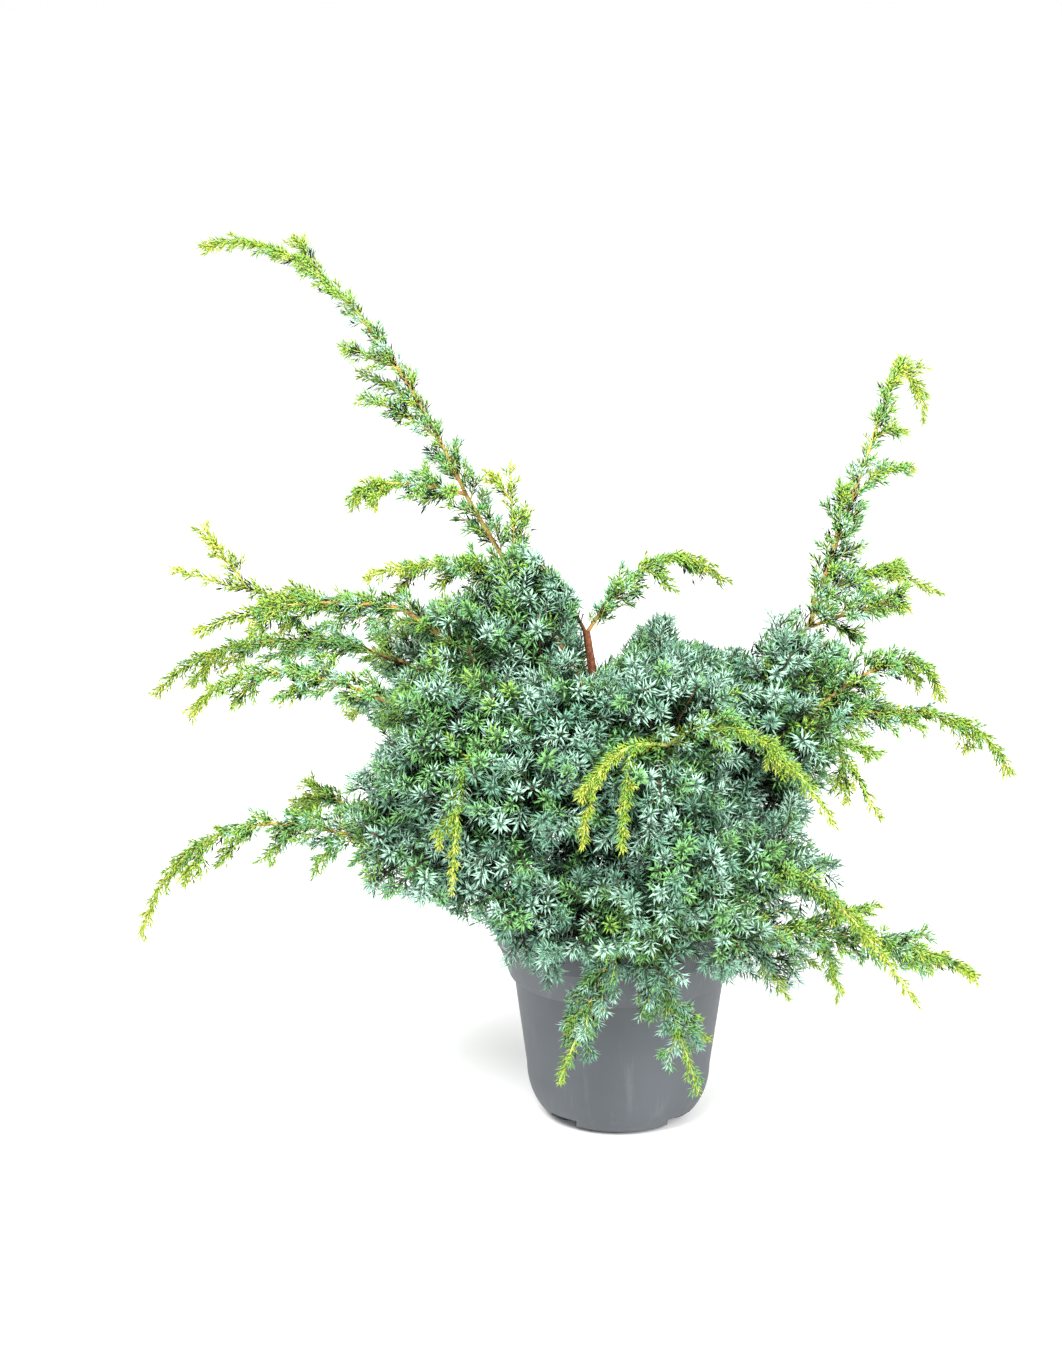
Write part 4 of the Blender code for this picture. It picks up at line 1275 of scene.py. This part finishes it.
def side_shoots(parents, level, dice):
    """Shoots that leave their parents round a golden-angle spiral."""
    grown = parents.length * (level.last - level.first) / level.step
    counts = np.maximum(1, np.round(grown)).astype(int)
    owner = np.repeat(np.arange(len(counts)), counts)
    order = np.arange(counts.sum()) - np.repeat(np.cumsum(counts) - counts, counts)
    total = len(owner)
    spot = (order + dice.uniform(0.2, 0.8, total)) / counts[owner]
    share = level.first + (level.last - level.first) * spot
    way = parents.way(owner, share)
    side = across(way)
    other = np.cross(way, side)
    phase = dice.uniform(0.0, math.tau, len(counts))[owner]
    roll = (phase + GOLDEN_ANGLE * order + dice.normal(0.0, 0.25, total))[:, None]
    out = side * np.cos(roll) + other * np.sin(roll)
    opened = (level.spread + dice.normal(0.0, 0.12, total))[:, None]
    heading = way * np.cos(opened) + out * np.sin(opened)
    size = level.length * (1 - level.fade * share) * dice.uniform(0.7, 1.15, total)
    size = np.minimum(size, parents.length[owner] * 0.75)[:, None]
    start = parents.at(owner, share)
    away = unit(start - np.array(CROWN_MIDDLE))
    bent = unit(heading + way * level.onward + away * level.outward + LIFT * level.lift)
    handle = start + heading * size * 0.5
    tip = handle + bent * size * 0.5
    inner = parents.inner[owner] + (parents.outer[owner] - parents.inner[owner]) * share
    outer = np.minimum(1.0, inner + size[:, 0] * 2.0)
    return Shoots(start, handle, tip, inner, outer)


def thinned(shoots, cell, dice):
    """Where shoots crowd, one tip is left in each cell, and none in the dark middle."""
    if not cell:
        return shoots
    order = dice.permutation(len(shoots.length))
    cells = np.floor(shoots.tip[order] / cell).astype(int)
    _, first = np.unique(cells, axis=0, return_index=True)
    kept = np.sort(order[first])
    return shoots.chosen(kept[heart_depth(shoots.tip[kept]) > SHADED])


def heart_depth(points):
    """0 in the middle of the heart and 1 at its outside."""
    spread = np.abs(points - np.array(HEART_MIDDLE)) / np.array(HEART_SIZE)
    return (spread ** HEART_SQUARENESS).sum(axis=1) ** (1 / HEART_SQUARENESS)


def trimmed(shoots, habit, whole=()):
    """Cuts shoots where they would stand out of the heart's outline, and the heart's own
    also where they would leave its body. Of the whole ones, half stays at least, and of
    the others, what is cut shorter is left out."""
    everyone = np.arange(len(shoots.length))
    share = np.zeros(len(everyone))
    share[list(whole)] = TRIMS[0]
    for part in TRIMS:
        ends = shoots.at(everyone, np.full(len(everyone), part))
        lobe = np.array([noise.noise(Vector(point) * LOBE_SCALE) for point in ends.tolist()])
        way = shoots.way(everyone, np.full(len(everyone), part))
        reach = ends + way * (TIP_REACH + LOBE_REACH * lobe)[:, None]
        inside = inside_outline(reach)
        if habit is HEART:
            inside &= heart_depth(ends) + LOBE_DEPTH * lobe < HEART_EDGE
        share[inside] = part
    tips = shoots.at(everyone, share)
    handles = shoots.start + (shoots.handle - shoots.start) * share[:, None]
    outer = shoots.inner + (shoots.outer - shoots.inner) * share
    return Shoots(shoots.start, handles, tips, shoots.inner, outer).chosen(share > 0)


def seen(points):
    """Where the camera sees each point against the plane through the trunk."""
    eye = np.array(CAMERA_PLACE)
    share = (0.0 - eye[1]) / (points[:, 1:2] - eye[1])
    return (eye + (points - eye) * share)[:, [0, 2]]


def inside_outline(points):
    """Whether each point shows within the heart's outline, seen from the camera."""
    across, up = seen(points).T
    inside = np.zeros(len(points), bool)
    corners = np.array(HEART_OUTLINE) * MM
    for start, end in zip(corners, np.roll(corners, -1, axis=0)):
        crosses = (start[1] > up) != (end[1] > up)
        rise = end[1] - start[1] if end[1] != start[1] else 1.0
        edge = start[0] + (up - start[1]) / rise * (end[0] - start[0])
        inside ^= crosses & (across < edge)
    return inside


def hides_bough(points):
    """Whether each point stands before a bough that shows."""
    hides = np.zeros(len(points), bool)
    spots = seen(points)
    boughs = [(LIMBS[name].samples[:, :3], first) for name, first in SHOWN_BOUGHS.items()]
    fresh = [(dense_line(mass.lines[0]), 0.0) for mass in MASSES if mass.habit is FRESH_PLUME]
    for line, first in boughs + fresh:
        line = line[round(len(line) * first):]
        away = np.linalg.norm(spots[:, None] - seen(line)[None], axis=2)
        before = points[:, 1] < line[away.argmin(axis=1), 1]
        hides |= before & (away.min(axis=1) < SHOWN_WIDTH)
    return hides


def clear_shoots(shoots):
    """Leaves out what would enter the pot, the trunk or a bough."""
    everyone = np.arange(len(shoots.length))
    keep = np.ones(len(everyone), bool)
    for share in (0.45, 0.75, 1.0):
        points = shoots.at(everyone, np.full(len(everyone), share))
        outward = np.hypot(points[:, 0], points[:, 1])
        in_pot = (outward < RIM_RADIUS + LIP + 3 * MM) & (points[:, 2] < POT_HEIGHT + 3 * MM)
        keep &= ~in_pot
        for limb in LIMBS.values():
            away = np.linalg.norm(points[:, None, :] - limb.samples[None, ::2, :3], axis=2)
            keep &= (away - limb.samples[None, ::2, 3]).min(axis=1) > 1.0 * MM
    return shoots.chosen(keep)


def shoots_along(pieces):
    """Parents of twigs, each a piece of a bow between two shares of its length."""
    starts = []
    handles = []
    tips = []
    for bow, first, last in pieces:
        starts.append(bow.at(first))
        bend = bow.handle * (first * (1 - last) + last * (1 - first))
        handles.append(bow.start * ((1 - first) * (1 - last)) + bend + bow.tip * (first * last))
        tips.append(bow.at(last))
    nothing = np.zeros(len(pieces))
    return Shoots(np.array(starts), np.array(handles), np.array(tips), nothing, nothing + 0.2)


def fine_growth(stems, habit, dice):
    """The levels of finer shoots on the stems."""
    levels = []
    before = stems
    for number, level in enumerate(habit.levels):
        made = clear_shoots(side_shoots(before, level, dice))
        if habit in (HEART, CLUMP):
            made = trimmed(made, habit)
        if habit is HEART:
            everyone = np.arange(len(made.length))
            halfway = made.at(everyone, np.full(len(everyone), 0.5))
            made = made.chosen(~(hides_bough(halfway) | hides_bough(made.tip)))
        if number == len(habit.levels) - 1:
            made = thinned(made, habit.cell, dice)
        levels.append(made)
        before = before.joined(made) if habit.levels[-1].on_all else made
    return levels


def tubes(shoots, rings, sides, thick, thin, first=0.0, last=1.0):
    """Points and faces of a tapering tube on each shoot, closed at both ends."""
    count = len(shoots.length)
    owner = np.repeat(np.arange(count), rings)
    share = np.tile(np.linspace(first, last, rings), count)
    centre = shoots.at(owner, share)
    way = shoots.way(owner, share)
    side = across(shoots.way(np.arange(count), np.zeros(count)))[owner]
    side = unit(side - way * (side * way).sum(axis=1, keepdims=True))
    other = np.cross(way, side)
    radius = (thick + (thin - thick) * share)[:, None]
    angles = np.arange(sides) * math.tau / sides
    ring = [centre + (side * math.cos(a) + other * math.sin(a)) * radius for a in angles]
    points = np.stack(ring, axis=1).reshape(-1, 3)
    base = (np.arange(count) * rings * sides)[:, None, None]
    low = base + (np.arange(rings - 1) * sides)[None, :, None] + np.arange(sides)[None, None, :]
    after = base + (np.arange(rings - 1) * sides)[None, :, None]
    after = after + (np.arange(1, sides + 1) % sides)[None, None, :]
    quads = np.stack([low, after, after + sides, low + sides], axis=-1).reshape(-1, 4)
    faces = np.concatenate([quads[:, [0, 1, 2]], quads[:, [0, 2, 3]]])
    caps = [faces]
    for corner in range(1, sides - 1):
        foot = (np.arange(count) * rings * sides)[:, None] + np.array([0, corner + 1, corner])
        top = foot[:, [0, 2, 1]] + (rings - 1) * sides
        caps += [foot, top]
    return points, np.concatenate(caps)


Needles = namedtuple("Needles", "root way face size warmth shade")


def needles_on(shoots, habit, first, size, dice, last=1.0, sparse=1.0, inner_shade=0.0):
    """Whorls of three needles along each shoot. They close up round the shoot's tip."""
    grown = shoots.length * (last - first) / (habit.whorl_step * sparse)
    counts = np.maximum(3 if last == 1.0 else 1, np.round(grown)).astype(int)
    owner = np.repeat(np.arange(len(counts)), counts)
    order = np.arange(counts.sum()) - np.repeat(np.cumsum(counts) - counts, counts)
    share = np.minimum(first + (last - first) * (order + 1.0) / counts[owner], 1.0)
    way = shoots.way(owner, share)
    centre = shoots.at(owner, share)
    phase = dice.uniform(0.0, math.tau, len(counts))[owner]
    left = (1 - share) * shoots.length[owner]
    closing = np.clip(1 - left / (6 * MM), 0.0, 1.0)
    outness = shoots.inner[owner] + (shoots.outer[owner] - shoots.inner[owner]) * share
    mood = np.clip(dice.normal(0.0, 0.85, len(counts)), -MOST_MOOD, MOST_MOOD)[owner]
    warm = habit.warmth + habit.warming * outness ** 1.5 + mood - POT_TINT * before_pot(centre)
    # Painted shade: a part for the habit, for the inner needles and at random for each shoot, and more for needles
    # further from the shoot's lit tip.
    shade = habit.shade + inner_shade + dice.normal(0.0, 0.12, len(counts))[owner]
    shade += OWN_SHADE * np.clip((left - LIT_LENGTH) / (6 * MM), 0.0, 1.0)
    if habit is HEART:
        warm += (YOUNG_TINT * near_plumes(shoots.tip) + SUNNY_TINT * sunny(shoots.tip))[owner]
        warm = np.minimum(warm, WARMEST_HEART)
    side = across(way)
    other = np.cross(way, side)
    made = []
    for third in range(3):
        roll = phase + order * math.pi / 3 + third * math.tau / 3
        roll = (roll + dice.normal(0.0, 0.2, len(owner)))[:, None]
        out = side * np.cos(roll) + other * np.sin(roll)
        opened = habit.spread * (1 - 0.2 * closing) + dice.normal(0.0, 0.14, len(owner))
        opened = opened[:, None]
        heading = way * np.cos(opened) + out * np.sin(opened)
        face = way * np.sin(opened) - out * np.cos(opened)
        length = size * (1 - 0.2 * closing) * dice.uniform(0.8, 1.12, len(owner))
        made.append(Needles(centre + out * 0.3 * MM, heading, face, length, warm, shade))
    return Needles(*[np.concatenate(part) for part in zip(*made)])


def crowding(roots):
    """How much foliage stands between each needle and the open air, outwards or upwards:
    0 for none and 1 for so much that it is dark. The needles' colours take it as painted shade."""
    low = roots.min(axis=0) - 2 * CROWD_CELL
    cells = ((roots - low) / CROWD_CELL).astype(int)
    crowd = np.zeros(cells.max(axis=0) + 3)
    np.add.at(crowd, tuple(cells.T), 1.0)
    away = unit(roots - np.array(CROWN_MIDDLE))
    least = np.full(len(roots), np.inf)
    for way in (away, unit(away + LIFT), unit(away + FORWARD)):
        total = np.zeros(len(roots))
        for step in CROWD_STEPS:
            reached = (roots + way * step * CROWD_CELL - low) / CROWD_CELL
            cells = np.clip(reached.astype(int), 0, np.array(crowd.shape) - 1)
            total += crowd[tuple(cells.T)]
        least = np.minimum(least, total)
    print("crowding", np.percentile(least, (10, 25, 50, 75, 90)))
    return least / CROWD_FULL


def tints_of(needles, crowded):
    """The number of each needle's colour: by its youth, or a dim or the darkest painted shade colour where it lies in
    shade.
    """
    # Painted shade: the needle's own shade and the foliage crowding round it darken its colour to a dim or the darkest
    # painted shade tint.
    shade = needles.shade + crowded
    tint = np.clip(np.round(needles.warmth), 0, YOUNGEST).astype(int)
    tint = np.where(shade > PAINTED_SHADE_FROM, np.where(tint < GREEN, PAINTED_SHADE_BLUE, PAINTED_SHADE_GREEN), tint)
    return np.where(shade > PAINTED_DEEP_SHADE_FROM, PAINTED_DEEP_SHADE, tint)


def sunny(points):
    """From 0 in the silvery middle of the crown to 1 high up at its sides."""
    aside = (np.abs(points[:, 0] - SILVER_MIDDLE) - SILVER_REACH) / TURNING
    high = (points[:, 2] - SILVER_TOP) / TURNING
    return np.clip(aside, 0.0, 1.0) * np.clip(high, 0.0, 1.0)


def before_pot(points):
    """1 where foliage hangs down round the pot, which is silvery, and 0 elsewhere."""
    near = np.hypot(points[:, 0], points[:, 1]) < POT_TINT_REACH
    return (near & (points[:, 2] < POT_HEIGHT)).astype(float)


def near_plumes(points):
    """From 0 far from any long young shoot to 1 at one."""
    lines = [dense_line(mass.lines[0]) for mass in MASSES if mass.habit in (PLUME, FRESH_PLUME)]
    young = np.concatenate(lines)[::2]
    return np.clip(1 - distance_to(young, points) / YOUNG_REACH, 0.0, 1.0)


def needle_mesh(name, root, way, face, size):
    """Closed kites, widest a third of the way out: a pale upper face with a fold across
    it, and a green keel below."""
    side = np.cross(way, face)
    length = size[:, None]
    broad = np.minimum(NEEDLE_WIDTH, size * 0.22)[:, None] / 2
    waist = root + way * length * NEEDLE_WIDEST + face * NEEDLE_DEPTH
    points = np.stack([
        root,
        waist + side * broad,
        waist - side * broad,
        root + way * length + face * length * 0.05,
    ], axis=1).reshape(-1, 3)
    shape = np.array([(0, 1, 2), (3, 2, 1), (0, 3, 1), (0, 2, 3)])
    faces = (np.arange(len(root)) * 4)[:, None, None] + shape[None]
    kinds = np.tile([1, 1, 0, 0], len(root))
    return mesh_of(name, points, faces.reshape(-1, 3), kinds)


def stem_tints(habit):
    """The colours of a stem's bark at its foot, in the middle and at the tip."""
    if habit in (HEART, CLUMP):
        return "brown", "brown", "olive"
    if habit is PLUME:
        return "orange", "olive", "young"
    return "young", "young", "young"


def stem_wood(stems, tints, wood):
    """Tapering tubes for the stems and for the twigs that the source gives them. Their
    bark turns from old to young on the way out."""
    old, middle, young = tints
    for stem in stems:
        main = np.arange(len(stem.length)) == 0
        first = stem.chosen(main)
        wood[old].append(tubes(first, 20, 7, STEM_WOOD, 0.6 * MM, 0.0, 0.4))
        wood[middle].append(tubes(first, 14, 7, STEM_WOOD, 0.6 * MM, 0.4, 0.72))
        wood[young].append(tubes(first, 12, 6, STEM_WOOD, 0.6 * MM, 0.72, 1.0))
        rest = stem.chosen(~main)
        if len(rest.length):
            wood[middle].append(tubes(rest, 9, 5, 0.95 * MM, 0.6 * MM, 0.0, 0.5))
            wood[young].append(tubes(rest, 8, 5, 0.95 * MM, 0.5 * MM, 0.5, 1.0))


def build_foliage():
    wood = {name: [] for name in WOOD_TINTS}
    needles = []
    for number, habit in enumerate(HABITS):
        dice = np.random.default_rng((SEED, number))
        parts = [source_shoots(mass) for mass in MASSES if mass.habit is habit]
        if habit is HEART:
            parts = [trimmed(part, habit, whole=[0]) for part in parts]
        old = habit in (HEART, CLUMP)
        stem_wood(parts, stem_tints(habit), wood)
        stems = parts[0]
        for part in parts[1:]:
            stems = stems.joined(part)
        needles.append(needles_on(stems, habit, habit.bare, habit.needle, dice))
        if habit is HEART:
            twigs = clear_shoots(side_shoots(shoots_along(LEAFY), LIMB_TWIGS, dice))
            twigs = trimmed(twigs, habit)
            dress(twigs, habit, LIMB_TWIGS, "brown", wood, needles, dice)
            stems = stems.joined(twigs)
        bark = "dull" if old else "young"
        for level, made in zip(habit.levels, fine_growth(stems, habit, dice)):
            dress(made, habit, level, bark, wood, needles, dice)
    dice = np.random.default_rng((SEED, 9))
    for level, made in zip(SPRIGS.levels, fine_growth(shoots_along(SPRIGGED), SPRIGS, dice)):
        dress(made, SPRIGS, level, "young", wood, needles, dice)
    nodes = ["foliage_" + mass.name for mass in MASSES]
    for name, colour in WOOD_TINTS.items():
        add_wood("wood_" + name, colour, wood[name], nodes)
    together = Needles(*[np.concatenate(part) for part in zip(*needles)])
    print("needles", len(together.size))
    # The crowding gives the needles' painted shade, and the most crowded needles are left out.
    crowded = crowding(together.root)
    seen_ones = crowded < CROWD_MOST
    together = Needles(*[part[seen_ones] for part in together])
    print("seen", len(together.size))
    tints = tints_of(together, crowded[seen_ones])
    for number, (name, under, upper) in enumerate(NEEDLE_TINTS):
        add_needles(name, under, upper, together, tints == number, nodes)


def dress(shoots, habit, level, bark, wood, needles, dice):
    """Wood and needles for one level of shoots. In the heart, needles stay on below
    the leafy part too, darkened with painted shade."""
    print(bark, "shoots", len(shoots.length), "mm", shoots.length.sum() * 1000)
    wood[bark].append(tubes(shoots, level.rings, level.sides, level.thick, level.thick * 0.6))
    needles.append(needles_on(shoots, habit, level.bare, habit.needle, dice))
    if habit is HEART:
        # Inner needles below the leafy part, with painted shade added to their colour.
        needles.append(needles_on(
            shoots, habit, 0.05, INNER_NEEDLE, dice, last=level.bare, sparse=1.8,
            inner_shade=INNER_PAINTED_SHADE,
        ))


def add_wood(name, colour, made, nodes):
    points = np.concatenate([part[0] for part in made])
    starts = np.cumsum([0] + [len(part[0]) for part in made[:-1]])
    faces = np.concatenate([part[1] + start for part, start in zip(made, starts)])
    print(name, len(faces))
    mesh = mesh_of(name, points, faces)
    mesh.shade_smooth()
    add_piece(name, mesh, "foliage", [plain(name, colour, 0.6)], *nodes)


def add_needles(name, under, upper, needles, chosen, nodes):
    # The darkest painted shade needles get less gloss.
    gloss = PAINTED_DEEP_SHADE_GLOSS if name == "deep" else NEEDLE_GLOSS
    finishes = [
        plain(f"{name}_under", under, 0.5, gloss), plain(f"{name}_upper", upper, 0.55, gloss),
    ]
    picked = np.flatnonzero(chosen)
    print(name, len(picked))
    pieces = max(1, math.ceil(len(picked) / NEEDLES_A_PIECE))
    for number, part in enumerate(np.array_split(picked, pieces)):
        if not len(part):
            continue
        title = f"needles_{name}_{number + 1}"
        mesh = needle_mesh(
            title, needles.root[part], needles.way[part], needles.face[part],
            needles.size[part],
        )
        add_piece(title, mesh, "foliage", finishes, *nodes)


LIMBS = {}
LEAFY = []
SPRIGGED = []
MASSES = []
BOUGH_BARK = bark_finish(
    "bough_bark", (80, 46, 28), (138, 98, 48), (178, 150, 78), (50 * MM, 200 * MM),
)

build_camera()
build_studio()
build_pot()
build_soil()
build_trunk()
left_side()
top_fork()
right_side()
front_side()
back_side()
heart_masses()
for each in MASSES:
    grow_twigs(each)
build_foliage()
